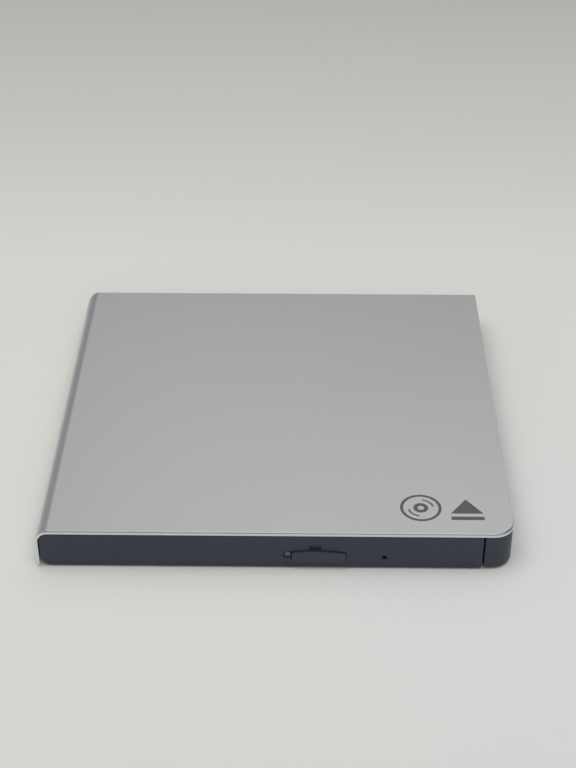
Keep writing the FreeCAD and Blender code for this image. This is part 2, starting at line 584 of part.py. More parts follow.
# ---------------------------------------------------------------- mechanism chassis
def chassis_pan():
    made = body("chassis_pan")
    left, right = "mech_x-pan_half", "mech_x+pan_half"
    pad(made, sketch(made, "XY", "floor_top", rectangle(left, "pan_front", right, "pan_rear")),
        "pan_top-floor_top")
    pocket(made, sketch(made, "XY", "pan_top", rectangle(
        left + "+sheet", "pan_front-1", right + "-sheet", "pan_rear-sheet")), "pan_top-pan_floor")
    side = [rectangle(right + "-sheet/2", f"{y}-ear_half", right + "+ear_reach", f"{y}+ear_half", "0.2")
            for y in ("ear_front", "ear_rear")]
    back = [rectangle(f"{x}-ear_half", "pan_rear-sheet/2", f"{x}+ear_half", "pan_rear+ear_reach", "0.2")
            for x in ("ear_left", "ear_right")]
    pad(made, sketch(made, "XY", "ear_level", *side, *back), "sheet")
    pocket(made, sketch(made, "XY", "ear_level+sheet+0.5", *circles(EARS, "ear_hole")), "sheet+1")
    pad(made, sketch(made, "XY", "pan_floor", *circles(BOARD_SCREWS, "standoff")), "board_level-pan_floor")
    pocket(made, sketch(made, "XY", "board_level+0.5", *circles(BOARD_SCREWS, "ear_screw-0.05")),
           "board_level-floor_top+0.2")
    ribs = [rectangle(x, y, x + "+2.4", y + "+34", "1.1") for x in ("-52", "-30", "16", "44")
            for y in ("-58", "-12")]
    pad(made, sketch(made, "XY", "pan_floor", *ribs), "rib_height")
    pocket(made, sketch(made, "XZ", "pan_rear-sheet-1", rectangle(
        "port_x-port_half-port_gap", "port_low-port_gap", "port_x+port_half+port_gap",
        "port_high+port_gap")), "sheet+2")


def chassis_lid():
    made = body("chassis_lid")
    skin = "lid_sheet"
    left, right = f"mech_x-pan_half-{skin}", f"mech_x+pan_half+{skin}"
    pad(made, sketch(made, "XY", "lid_skirt", rectangle(left, "pan_front", right, f"pan_rear+{skin}")),
        f"pan_top+{skin}-lid_skirt")
    pocket(made, sketch(made, "XY", "lid_skirt", rectangle(
        f"{left}+{skin}", "pan_front-1", f"{right}-{skin}", "pan_rear")), "pan_top-lid_skirt", along=True)
    pad(made, sketch(made, "XY", f"pan_top+{skin}", ("mech_x", "disc_y", "lid_disc_radius")), "lid_disc_rise")
    pocket(made, sketch(made, "XY", "pan_top", ("mech_x", "disc_y", "lid_disc_radius-1")),
           "lid_disc_rise", along=True)


SIDES = (("left", "-"), ("right", "+"))


def guides_and_rails():
    for side, way in SIDES:
        guide = body("guide_" + side)
        pad(guide, sketch(guide, "XZ", "guide_front", [
            (f"mech_x{way}guide_back", "pan_floor"), (f"mech_x{way}guide_back", "guide_top"),
            (f"mech_x{way}guide_reach", "guide_top"), (f"mech_x{way}guide_reach", "guide_roof"),
            (f"mech_x{way}(guide_back-guide_wall)", "guide_roof"),
            (f"mech_x{way}(guide_back-guide_wall)", "guide_floor"),
            (f"mech_x{way}guide_reach", "guide_floor"), (f"mech_x{way}guide_reach", "pan_floor"),
        ]), "guide_rear-guide_front", along=False)
        rail = body("rail_" + side)
        pad(rail, sketch(rail, "XZ", "rail_front", [
            (f"mech_x{way}rail_back", "rail_low"), (f"mech_x{way}rail_back", "rail_high"),
            (f"mech_x{way}rail_reach", "rail_high"), (f"mech_x{way}rail_reach", "rail_high-rail_wall"),
            (f"mech_x{way}(rail_back-rail_wall)", "rail_high-rail_wall"),
            (f"mech_x{way}(rail_back-rail_wall)", "rail_low+rail_wall"),
            (f"mech_x{way}rail_reach", "rail_low+rail_wall"), (f"mech_x{way}rail_reach", "rail_low"),
        ]), "rail_rear-rail_front", along=False)
        mid = "(rail_low+rail_high)/2"
        slots = [rectangle(f"{y}-rail_slot/2", f"{mid}-rail_slot_half", f"{y}+rail_slot/2",
                           f"{mid}+rail_slot_half") for y in ("rail_front+12", "rail_rear-12")]
        pocket(rail, sketch(rail, "YZ", "mech_x" + ("+pan_half" if way == "+" else "-rail_reach"), *slots),
               "pan_half-rail_reach+2")


def latch_pin():
    keep(fuse(rod("z", "catch_x", "catch_y", "pan_floor", "catch_radius", "catch_top-pan_floor"),
              rod("z", "catch_x", "catch_y", "pan_floor", "catch_radius+0.9", "0.35")), "latch_pin")


# ---------------------------------------------------------------- electronics
def main_board():
    made = body("main_board")
    pad(made, sketch(made, "XY", "board_level", [
        ("board_left", "board_front"), ("board_right", "board_front"), ("board_right", "board_rear"),
        ("board_left", "board_rear"),
    ], *circles(BOARD_SCREWS, "ear_hole")), "board_thick")
    top = "(board_level+board_thick)"
    chips = [
        box("-34", "42", top, "14", "14", "1.2"), box("-14", "46", top, "8", "11", "1.0"),
        box("12", "44", top, "9", "9", "0.9"), box("27", "40", top, "5", "6", "1.3"),
        rod("z", "30", "53", top, "2.5", "3.2"), rod("z", "-44", "38", top, "2.5", "3.2"),
        box("-50", "47", top, "6", "6", "2.2"), box("3", "39", top, "3", "5", "1.1"),
    ]
    chips += [box(x, y, top, "1.6", "0.8", "0.6")
              for x in ("-31", "-27", "-8", "15", "20", "24") for y in ("39", "57.5")]
    keep(group(*chips), "main_board_parts")
    keep(cut(box("flex_x-zif_half", "zif_front", top, "zif_half*2", "zif_back-zif_front", f"zif_high-{top}"),
             box("flex_x-flex_half-0.2", "zif_front-1", f"{top}+0.15", "flex_half*2+0.4", "2.8", "0.35")),
         "board_connector")
    keep(cut(box("flex_x-zif_half", "flex_plug", "under_level+under_sheet", "zif_half*2",
                 "flex_socket-flex_plug", "1.9"),
             box("flex_x-flex_half-0.2", "flex_plug+1.4", "flex_lift-0.2", "flex_half*2+0.4", "5", "0.4")),
         "tray_connector")


def flex_cable():
    made = body("flex_cable")
    h, level, front = "flex_thick/2", "flex_run+flex_thick/2", "flex_fold"
    back, entry, lift = "flex_return+flex_thick/2", "board_level+board_thick+0.3", "flex_lift"
    rise, drop = "board_front-0.8", "body_rear+0.3"
    bend, tight, loose = "(flex_return-flex_run+flex_thick)/2-0.01", "0.2", "0.2+flex_thick"
    small = "(flex_return-flex_run-flex_thick)/2-0.01"
    pad(made, sketch(made, "YZ", "flex_x-flex_half", [
        ("zif_front+1.4", f"{entry}-{h}"), (f"{rise}+{h}", f"{entry}-{h}", tight),
        (f"{rise}+{h}", f"{level}-{h}", loose), (f"{front}-{h}", f"{level}-{h}", bend),
        (f"{front}-{h}", f"{back}+{h}", bend), (f"{drop}-{h}", f"{back}+{h}", tight),
        (f"{drop}-{h}", f"{lift}-{h}", tight), ("flex_plug+1.6", f"{lift}-{h}"),
        ("flex_plug+1.6", f"{lift}+{h}"), (f"{drop}+{h}", f"{lift}+{h}", loose),
        (f"{drop}+{h}", f"{back}-{h}", loose), (f"{front}+{h}", f"{back}-{h}", small),
        (f"{front}+{h}", f"{level}+{h}", small), (f"{rise}-{h}", f"{level}+{h}", tight),
        (f"{rise}-{h}", f"{entry}+{h}", loose), ("zif_front+1.4", f"{entry}+{h}"),
    ]), "flex_half*2")


def front_panel():
    made = body("front_board")
    pad(made, sketch(made, "XY", "panel_level", rectangle(
        "panel_left", "-panel_front", "panel_right", "-panel_back", "0.6")), "panel_thick")
    top = "(panel_level+panel_thick)"
    case = box("stem_x-switch_half", "-switch_front", top, "switch_half*2", "switch_front-switch_back",
               f"switch_high-{top}")
    hole = box("stem_x-plunger_half-0.1", "-switch_front-1", "plunger_low-0.1", "plunger_half*2+0.2",
               "switch_front-plunger_back+1.6", "plunger_high-plunger_low+0.2")
    keep(cut(case, hole), "eject_switch")
    keep(box("stem_x-plunger_half", "-stem_end+0.02", "plunger_low", "plunger_half*2",
             "stem_end-plunger_back-0.02", "plunger_high-plunger_low"), "switch_plunger")
    parts = [box("lamp_x-led_half", "-lamp_end+0.1", top, "led_half*2", "lamp_end-led_back-0.1",
                 f"led_high-{top}")]
    parts += [box(x, "-57.4", top, "1.6", "0.8", "0.5") for x in ("2", "6", "19", "22")]
    keep(group(*parts), "front_board_parts")


# ---------------------------------------------------------------- tray drawer
def tray():
    made = body("tray")
    left, right = "mech_x-tray_half", "mech_x+tray_half"
    pad(made, sketch(made, "XY", "plate_under", rectangle(left, "tray_front", right, "tray_back", "2")),
        "tray_top-plate_under")
    recess = sketch(made, "XY", "tray_top", ("mech_x", "disc_y", "recess_radius"))
    pocket(made, recess, "tray_top-recess_floor")
    inner, wall = "(body_half-body_wall)", "body_wall"
    walls = sketch(made, "XY", "body_low",
                   rectangle("mech_x-body_half", "tray_front", "mech_x+body_half", "body_rear"),
                   rectangle(f"mech_x-{inner}", f"tray_front+{wall}", f"mech_x+{inner}", f"body_rear-{wall}"))
    pad(made, walls, "plate_under-body_low")
    for side, way in SIDES:
        near, far = ("-", "+") if way == "-" else ("+", "-")
        strip = sketch(made, "XY", "strip_low", rectangle(
            f"mech_x{way}body_half", "body_rear-1", f"mech_x{way}{inner}", "tray_back-2"))
        pad(made, strip, "plate_under-strip_low")
        runner = sketch(made, "XY", "runner_low", rectangle(
            f"mech_x{way}runner_reach", "runner_front", f"mech_x{way}(body_half-0.4)", "runner_rear"))
        pad(made, runner, "runner_high-runner_low")
    pad(made, sketch(made, "XY", "body_low", *circles(TRAY_SCREWS, "plate_post")), "plate_under-body_low")
    pocket(made, sketch(made, "XY", "body_low", *circles(TRAY_SCREWS, "tray_screw+0.05")), "3.6", along=True)
    dampers = sketch(made, "XY", "damper_top", *circles(DAMPERS, "mount_post"), turned=True)
    pad(made, dampers, "plate_under-damper_top")
    pilots = sketch(made, "XY", "damper_top", *circles(DAMPERS, "tray_screw+0.05"), turned=True)
    pocket(made, pilots, "2.1", along=True)
    pivot = sketch(made, "XY", "lever_low-0.2", ("pivot_x", "pivot_y", "pivot_radius"))
    pad(made, pivot, "plate_under-lever_low+0.2")
    pocket(made, sketch(made, "XY", "tray_top", ("mech_x", "disc_y", "mini_radius")), "tray_top-mini_floor")
    scallops = [(f"mech_x{x}scallop_out*sqrt(0.5)", f"disc_y{y}scallop_out*sqrt(0.5)", "scallop_radius")
                for x, y in ("++", "-+", "+-")]
    pocket(made, sketch(made, "XY", "tray_top", *scallops), "tray_top-recess_floor")
    pocket(made, sketch(made, "XY", "tray_top+1", ("0", "0", "hub_window"), turned=True))
    pocket(made, sketch(made, "XY", "tray_top+1", rectangle(
        "window_start", "-window_half", "window_end", "window_half", "window_round"), turned=True), "6")
    pocket(made, sketch(made, "XZ", "tray_front-1", rectangle(
        "cavity_left", "body_low-1", "cavity_right", "plate_under"),
        ("pin_hole_x", "pin_hole_z", "pin_hole_radius+0.35")), "body_wall+1.3")
    doors = sketch(made, "XZ", "body_rear-body_wall-0.5",
                   rectangle("flex_x-flex_half-0.6", "body_low-1", "flex_x+flex_half+0.6", "5.6"),
                   rectangle("catch_x-channel_half", "body_low-1", "catch_x+channel_half", "catch_top+0.3"))
    pocket(made, doors, "body_wall+2")
    pocket(made, sketch(made, "XZ", "59.0", rectangle(
        "port_x-port_half-0.6", "plate_under-1", "port_x+port_half+0.6", "plate_under+0.5")), "5")


def tray_bottom_plate():
    made = body("tray_bottom_plate")
    edge = "body_half-under_inset"
    channel = ("catch_x-channel_half", "catch_x+channel_half")
    pad(made, sketch(made, "XY", "under_level", [
        (f"mech_x-({edge})", "tray_front+0.4"), (f"mech_x+{edge}", "tray_front+0.4"),
        (f"mech_x+{edge}", "body_rear-under_inset"), (channel[1], "body_rear-under_inset"),
        (channel[1], "catch_y-channel_half"), (channel[0], "catch_y-channel_half"),
        (channel[0], "body_rear-under_inset"), (f"mech_x-({edge})", "body_rear-under_inset"),
    ]), "under_sheet")
    for radius, depth in (("tray_screw_head+0.1", "0.65"), ("tray_screw+0.15", "1.5")):
        pocket(made, sketch(made, "XY", "under_level-0.5", *circles(TRAY_SCREWS, radius)), depth, along=True)
    spacers = [(x, "-57.2", "0.9") for x in ("panel_left+2", "panel_right-2")]
    pad(made, sketch(made, "XY", "under_level+under_sheet", *spacers), "panel_level-under_level-under_sheet")


def button_outline(grow):
    return [
        (f"button_left-{grow}", f"button_low-{grow}", "button_round"),
        (f"button_right+{grow}", f"button_low-{grow}", "button_round"),
        (f"button_right+{grow}", f"button_side+{grow}", "button_round"),
        ("(button_left+button_right)/2-1", f"button_peak+0.35+{grow}", "button_arch"),
        (f"button_left-{grow}", f"button_side+0.3+{grow}", "button_round"),
    ]


def tray_bezel():
    made = body("tray_bezel")
    pad(made, sketch(made, "XZ", "-case_front", [
        ("bezel_left", "bezel_low", "bezel_foot"), ("bezel_right", "bezel_low", "bezel_toe"),
        ("bezel_right", "bezel_high", "0.4"), ("bezel_left", "bezel_high", "bezel_corner"),
    ]), "case_front+tray_front", along=False)
    fillet(made, lambda b, e: flat_at(b.YMin, b.YMax, "-case_front"), "bezel_edge")
    wall = "bezel_wall"
    pocket(made, sketch(made, "XZ", "tray_front", [
        (f"bezel_left+{wall}", f"bezel_low+{wall}", f"bezel_foot-{wall}"),
        (f"bezel_right-{wall}", f"bezel_low+{wall}"), (f"bezel_right-{wall}", f"bezel_high-{wall}"),
        (f"bezel_left+{wall}", f"bezel_high-{wall}", f"bezel_corner-{wall}"),
    ]), f"case_front+tray_front-{wall}", along=True)
    hole = ("pin_hole_x", "pin_hole_z")
    boss = sketch(made, "XZ", f"{wall}-case_front-0.2", (*hole, "pin_hole_radius+1.1"))
    pad(made, boss, f"case_front+tray_front-{wall}+0.2", along=False)
    ribs = [rectangle(f"{x}-0.5", "bezel_low+0.6", f"{x}+0.5", "bezel_high-0.6")
            for x in ("-50", "-28", "44")]
    pad(made, sketch(made, "XZ", f"{wall}-case_front-0.2", *ribs), f"case_front+tray_front-{wall}+0.2",
        along=False)
    pocket(made, sketch(made, "XZ", "-case_front-0.5", button_outline("button_gap")), f"{wall}+2.6")
    pocket(made, sketch(made, "XZ", "-case_front-0.5", [
        ("pocket_left", "lamp_z-1.2", "1.1"), ("button_left+2", "lamp_z-1.2"),
        ("button_left+2", "button_side+0.5"), ("pocket_left", "lamp_z+1.25", "1.1"),
    ]), "pocket_depth+0.5")
    pocket(made, sketch(made, "YZ", "notch_left", [
        ("-case_front-0.5", "button_side"), ("notch_depth-case_front", "button_side"),
        ("notch_depth-case_front", "button_peak+0.5"), ("-case_front-0.1", "notch_top+0.2"),
        ("-case_front-0.5", "notch_top+0.2"),
    ]), "notch_right-notch_left", along=True)
    pocket(made, sketch(made, "XZ", "-case_front-0.5", (*hole, "pin_hole_radius")))
    pocket(made, sketch(made, "XZ", "-case_front-0.5", ("lamp_x", "lamp_z", "lamp_radius+0.04")))
    near, far = size_of("pin_hole_x-2"), size_of("pin_hole_x+2")
    sink = edges(made, lambda b, e: flat_at(b.YMin, b.YMax, "-case_front") and near < b.XMin < b.XMax < far)
    dress(made, "Chamfer", sink, "Size", "pin_sink_depth")


def eject_button():
    made = body("eject_button")
    front = "-case_front-button_proud"
    face = sketch(made, "XZ", front, button_outline("0"))
    pad(made, face, "case_front+button_proud-button_back", along=False)
    fillet(made, lambda b, e: flat_at(b.YMin, b.YMax, front), "0.3")
    stem = rectangle("stem_x-stem_half", "stem_low", "stem_x+stem_half", "stem_high")
    pad(made, sketch(made, "XZ", "-button_back-0.1", stem), "button_back+0.1-stem_end", along=False)
    keep(fuse(rod("y", "lamp_x", "-case_front+0.25", "lamp_z", "lamp_radius", "1.6"),
              rod("y", "lamp_x", "-case_front+1", "lamp_z", "lamp_stem", "case_front-lamp_end-1")),
         "led_lens")


# ---------------------------------------------------------------- optical traverse
def traverse_frame():
    made = body("traverse_frame")
    pad(made, sketch(made, "XY", "frame_low", [
        ("frame_back", "-6"), ("frame_back+14", "frame_left"), ("frame_end-6", "frame_left"),
        ("frame_end-0.5", "frame_left+5.5"), ("frame_end-0.5", "frame_right-4"),
        ("frame_end-4.5", "frame_right-0.5"), ("frame_back+10", "frame_right-0.5"), ("frame_back", "9"),
    ], ("0", "0", "well_radius")), "frame_high-frame_low")
    ears = sketch(made, "XY", "frame_low", *circles(DAMPERS, "damper_ear"))
    pad(made, ears, "frame_high-frame_low")
    pocket(made, sketch(made, "XY", "frame_high+1", rectangle(
        "sled_start-3", "-sled_half", "sled_end", "sled_half", "1.5")), "3")
    pocket(made, sketch(made, "XY", "frame_high+1", *circles(DAMPERS, "damper_waist")))
    clamps = []
    for u in ("rod_start-0.6", "rod_end-clamp_length"):
        for v in ("-rod_v", "rod_v"):
            clamps.append(rectangle(u, f"{v}-clamp_half", f"{u}+clamp_length", f"{v}+clamp_half"))
    pad(made, sketch(made, "XY", "frame_high", *clamps), "clamp_top-frame_high")
    rods = sketch(made, "YZ", "rod_start-0.1", ("-rod_v", "rod_z", "rod_radius+0.02"),
                  ("rod_v", "rod_z", "rod_radius+0.02"))
    pocket(made, rods, "rod_end-rod_start+0.2", along=True)
    skirt = sketch(made, "XY", "frame_high", rectangle(
        "frame_back+16", "-sled_half-5.4", "frame_end-8", "-sled_half-4.6"))
    pad(made, skirt, "1.6")
    on_sled(made)
    rods = [rod("x", "rod_start", v, "rod_z", "rod_radius", "rod_end-rod_start") for v in ("-rod_v", "rod_v")]
    keep(on_sled(group(*rods)), "guide_rods")


def dampers():
    rings = []
    for u, v in DAMPERS:
        outer = fuse(rod("z", u, v, "damper_low", "damper_radius", "frame_low-damper_low"),
                     rod("z", u, v, "frame_low", "damper_waist-0.02", "frame_high-frame_low"),
                     rod("z", u, v, "frame_high", "damper_radius", "damper_top-frame_high"))
        rings.append(cut(outer, rod("z", u, v, "damper_low-1", "tray_screw+0.15", "5")))
    keep(on_sled(group(*rings)), "dampers")


def motor():
    made = body("motor_base")
    pad(made, sketch(made, "XY", "motor_level", [
        ("-12.5", "-14", "4"), ("9", "-14", "4"), ("9", "14", "4"), ("-12.5", "14", "4"),
    ], ("0", "0", "shaft_radius+0.1")), "motor_sheet")
    on_sled(made)
    top = "(motor_level+motor_sheet)"
    keep(cut(rod("z", "mech_x", "disc_y", top, "sleeve_radius", f"sleeve_top-{top}"),
             rod("z", "mech_x", "disc_y", f"{top}-1", "shaft_radius+fit_gap", "9")), "bearing_sleeve")
    arms = []
    coils = []
    for n in range(round(DIMS["teeth"])):
        high = "core_high-core_low"
        arm = fuse(
            box("core_hub-0.4", "-tooth_half", "core_low", "core_radius-core_hub", "tooth_half*2", high),
            box("core_radius-tip_depth", "-tip_half", "core_low", "tip_depth-0.25", "tip_half*2", high))
        bobbin = box("coil_start-1", "-tooth_half-0.03", "core_low-0.03", "coil_end-coil_start+2",
                     "tooth_half*2+0.06", f"{high}+0.06")
        coil = cut(box("coil_start", "-coil_half", "coil_low", "coil_end-coil_start", "coil_half*2",
                       "coil_high-coil_low"), bobbin)
        for piece, pile in ((arm, arms), (coil, coils)):
            piece.Placement.Rotation = FreeCAD.Rotation(FreeCAD.Vector(0, 0, 1), 360 * n / DIMS["teeth"])
            pile.append(piece)
    hub = rod("z", "0", "0", "core_low", "core_hub", "core_high-core_low")
    core = cut(fuse(hub, *arms), rod("z", "0", "0", "core_low-1", "sleeve_radius+0.02", "3"))
    keep(on_sled(core), "stator_core")
    keep(on_sled(group(*coils)), "stator_coils")


def rotor():
    spun = [
        lathe("rotor_cup", [
            ("shaft_radius", "cup_under"), ("cup_radius-cup_wall", "cup_under"),
            ("cup_radius-cup_wall", "cup_low"), ("cup_radius", "cup_low"),
            ("cup_radius", "cup_top", "0.5"), ("shaft_radius", "cup_top"),
        ]),
        lathe("rotor_magnet", [
            ("magnet_inner", "magnet_low"), ("cup_radius-cup_wall", "magnet_low"),
            ("cup_radius-cup_wall", "magnet_high"), ("magnet_inner", "magnet_high"),
        ]),
        lathe("turntable_pad", [
            ("pad_inner", "pad_low"), ("pad_outer", "pad_low"), ("pad_outer", "disc_level", "0.15"),
            ("pad_inner", "disc_level", "0.15"),
        ]),
        lathe("spindle_shaft", [
            ("0", "shaft_low"), ("shaft_radius", "shaft_low"), ("shaft_radius", "hub_step"),
            ("0", "hub_step"),
        ]),
    ]
    hub = lathe("spindle_hub", [
        ("shaft_radius", "cup_top"), ("pad_inner-0.1", "cup_top"), ("pad_inner-0.1", "cup_top+0.3"),
        ("hub_radius", "cup_top+0.3"), ("hub_radius", "hub_step"), ("hub_neck", "hub_step+0.1"),
        ("hub_nose", "hub_top"), ("2.4", "hub_top"), ("2.4", "hub_step+0.02"),
        ("shaft_radius", "hub_step+0.02"),
    ])
    spun.append(hub)
    slots = []
    for n in range(3):
        a = math.radians(45 + 120 * n)
        c, s = f"({math.cos(a):.6f})", f"({math.sin(a):.6f})"
        inner, wide = "(claw_inner-claw_gap)", "(claw_half+claw_gap)"
        slots.append([(f"{inner}*{c}-{k}{wide}*{s}", f"{inner}*{s}+{k}{wide}*{c}") for k in ("", "-")]
                     + [(f"9*{c}+{k}{wide}*{s}", f"9*{s}-{k}{wide}*{c}") for k in ("", "-")])
    pocket(hub, sketch(hub, "XY", "hub_top+1", *slots), "hub_top+1-claw_low+claw_gap")
    for made in spun:
        place(made, "mech_x", "disc_y")
    for n in range(3):
        claw = body(f"clamp_claw_{n + 1}")
        pad(claw, sketch(claw, "XZ", "-claw_half", [
            ("claw_back", "claw_low"), ("claw_face", "claw_low"), ("claw_face", "claw_step-0.15"),
            ("claw_reach", "claw_step"), ("claw_reach-0.1", "claw_step+0.12"), ("claw_back+1", "claw_high"),
            ("claw_back", "claw_high"),
        ]), "claw_half*2", along=False)
        claw.Placement.Rotation = FreeCAD.Rotation(FreeCAD.Vector(0, 0, 1), 45 + 120 * n)
        place(claw, "mech_x", "disc_y")


def sled_drive():
    made = body("sled_motor")
    pad(made, sketch(made, "YZ", "stepper_start", rectangle(
        "screw_v-stepper_half", "stepper_low", "screw_v+stepper_half", "stepper_high", "0.8")),
        "stepper_end-stepper_start")
    pad(made, sketch(made, "YZ", "stepper_start-0.4", ("screw_v", "rod_z", "1.1")), "0.5")
    bearing = sketch(made, "YZ", "stepper_start-0.5", ("screw_v", "rod_z", "journal_radius+0.05"))
    pocket(made, bearing, "3", along=True)
    on_sled(made)
    screw_body = body("lead_screw")
    length = "thread_turns*thread_lead"
    pad(screw_body, sketch(screw_body, "YZ", "thread_start", ("screw_v", "rod_z", "thread_radius")), length)
    pad(screw_body, sketch(screw_body, "YZ", "journal_start", ("screw_v", "rod_z", "journal_radius")),
        "stepper_start+2-journal_start")
    on_sled(screw_body)
    bracket = cut(box("journal_start-0.3", "screw_v-1.6", "frame_high", "1.3", "3.2", "clamp_top-frame_high"),
                  rod("x", "journal_start-1", "screw_v", "rod_z", "journal_radius+0.05", "4"))
    keep(on_sled(bracket), "screw_bracket")


def pickup():
    made = body("pickup_carriage")
    hull = rectangle("lens_u-carriage_u", "-carriage_v", "lens_u+carriage_u", "carriage_v", "1")
    pad(made, sketch(made, "XY", "carriage_low", hull), "carriage_high-carriage_low")
    pad(made, sketch(made, "XY", "arm_low", rectangle(
        "lens_u-arm_back", "carriage_v-0.5", "lens_u+arm_front", "arm_reach")), "arm_high-arm_low")
    pad(made, sketch(made, "XY", "arm_low", rectangle(
        "lens_u-fork_half", "-arm_reach", "lens_u+fork_half", "0.5-carriage_v")), "arm_high-arm_low")
    slot = [("-rod_v", "rod_z", "rod_radius+0.05"), ("rod_v", "rod_z", "rod_radius+0.05")]
    pocket(made, sketch(made, "YZ", "lens_u-arm_back-1", *slot), "arm_back+carriage_u+2", along=True)
    pocket(made, sketch(made, "XY", "carriage_high+1", rectangle(
        "lens_u-bay_u", "-bay_v", "lens_u+bay_u", "bay_v", "0.5")), "carriage_high+1-bay_floor")
    on_sled(made)
    shield = body("pickup_cover")
    pad(shield, sketch(shield, "XY", "carriage_high", rectangle(
        "lens_u-carriage_u+0.4", "-carriage_v+0.4", "lens_u+carriage_u-0.4", "carriage_v-0.4", "0.8"),
        rectangle("lens_u-bay_u+0.3", "-bay_v+0.3", "lens_u+bay_u-0.3", "bay_v-0.3", "0.5")),
        "shield_high-carriage_high")
    on_sled(shield)
    holder = body("lens_holder")
    pad(holder, sketch(holder, "XY", "holder_low", rectangle(
        "lens_u-holder_u", "-holder_v", "lens_u+holder_u", "holder_v", "0.6")), "holder_high-holder_low")
    pocket(holder, sketch(holder, "XY", "holder_high+1", ("lens_u", "0", "lens_radius+0.02")),
           "holder_high-lens_seat+1")
    pocket(holder, sketch(holder, "XY", "holder_high+1", ("lens_u", "0", "lens_radius-0.4")))
    on_sled(holder)
    lens = lathe("objective_lens", [
        ("0", "lens_seat"), ("lens_radius", "lens_seat"), ("lens_radius", "lens_seat+0.12"),
        ("lens_radius*0.8", "lens_seat+lens_rise*0.65"), ("lens_radius*0.45", "lens_seat+lens_rise*0.93"),
        ("0", "lens_seat+lens_rise"),
    ])
    place(lens, "mech_x-lens_u*sqrt(0.5)", "disc_y-lens_u*sqrt(0.5)")
    follower = body("rack_nut")
    pad(follower, sketch(follower, "XY", "follower_low", rectangle(
        "lens_u-follower_u-follower_half", "arm_reach+0.02",
        "lens_u-follower_u+follower_half", "screw_v-thread_radius-follower_gap")),
        "follower_high-follower_low")
    on_sled(follower)


# ---------------------------------------------------------------- tray latch
def latch():
    made = body("latch_lever")
    pad(made, sketch(made, "XY", "lever_low", ("pivot_x", "pivot_y", "lever_boss")), "lever_high-lever_low")
    pad(made, sketch(made, "XY", "lever_low", [
        ("pivot_x-lever_half", "pivot_y"), ("pivot_x+lever_half", "pivot_y"),
        ("pivot_x+lever_half", "hook_back"),
        ("hook_tip+0.8", "hook_back"), ("hook_tip", "hook_face+0.6"), ("hook_tip", "hook_face"),
        ("pivot_x-lever_half", "hook_face"),
    ]), "lever_high-lever_low")
    pad(made, sketch(made, "XY", "lever_low", rectangle(
        "tail_tip+1", "tail_y-tail_half", "pivot_x", "tail_y+tail_half", "0.3")), "lever_high-lever_low")
    pocket(made, sketch(made, "XY", "lever_high+1", ("pivot_x", "pivot_y", "pivot_radius+0.1")))
    notch = rectangle("pivot_x-lever_half-1", "solenoid_y-core_rod-0.3",
                      "pivot_x+lever_half+1", "solenoid_y+core_rod+0.65")
    pocket(made, sketch(made, "XY", "lever_high+1", notch), "lever_high+1-core_z+core_rod+0.15")
    coil = doc.addObject("Part::Helix", "coil_path")
    for prop, text in (("Radius", "coil_radius"), ("Pitch", "coil_pitch"), ("Height", "coil_height")):
        bind(coil, prop, text)
    place(coil, "pivot_x", "pivot_y", "coil_start_z")
    wire = doc.addObject("Part::Circle", "wire")
    bind(wire, "Radius", "wire_radius")
    wire.Placement = FreeCAD.Placement(FreeCAD.Vector(), FreeCAD.Rotation(FreeCAD.Vector(1, 0, 0), 90))
    place(wire, "pivot_x+coil_radius", "pivot_y", "coil_start_z")
    sweep = doc.addObject("Part::Sweep", "coil")
    sweep.Sections = [wire]
    sweep.Spine = (coil, ["Edge1"])
    sweep.Solid = True
    sweep.Frenet = True
    keep(sweep, "latch_spring")
    block = box("solenoid_left", "solenoid_y-solenoid_half", "solenoid_low", "solenoid_right-solenoid_left",
                "solenoid_half*2", "solenoid_high-solenoid_low")
    bore = rod("x", "solenoid_left-1", "solenoid_y", "core_z", "core_rod+0.12", "core_end-solenoid_left+2.6")
    keep(cut(block, bore), "latch_solenoid")
    keep(fuse(rod("x", "core_tip", "solenoid_y", "core_z", "core_head", "core_head_length"),
              rod("x", "core_tip", "solenoid_y", "core_z", "core_rod", "core_end-core_tip")), "solenoid_core")


for build in (
    top_cover, bottom_case, feet_and_label, screws, usb_port, chassis_pan, chassis_lid, guides_and_rails,
    latch_pin, main_board, flex_cable, front_panel, tray, tray_bottom_plate, tray_bezel, eject_button,
    traverse_frame, dampers, motor, rotor, sled_drive, pickup, latch,
):
    build()
doc.recompute()

# ---------------------------------------------------------------- checks and export
for item in doc.Objects:
    if "Invalid" in item.State or "Error" in item.State:
        raise RuntimeError(f"{item.Label} is {item.State}")
os.makedirs("parts", exist_ok=True)
for node in nodes:
    shape = node.Shape
    if shape.isNull() or not shape.isValid():
        raise RuntimeError(f"{node.Label} has a bad shape")
    shape.exportStep(f"parts/{node.Label}.step")
    box_of = shape.BoundBox
    print(f"{node.Label:18} {len(shape.Solids)} solids {shape.Volume:9.1f} mm3  "
          f"x {box_of.XMin:7.2f} {box_of.XMax:7.2f}  y {box_of.YMin:7.2f} {box_of.YMax:7.2f}  "
          f"z {box_of.ZMin:6.2f} {box_of.ZMax:6.2f}")
print(f"{len(nodes)} sub-parts")
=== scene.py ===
import math

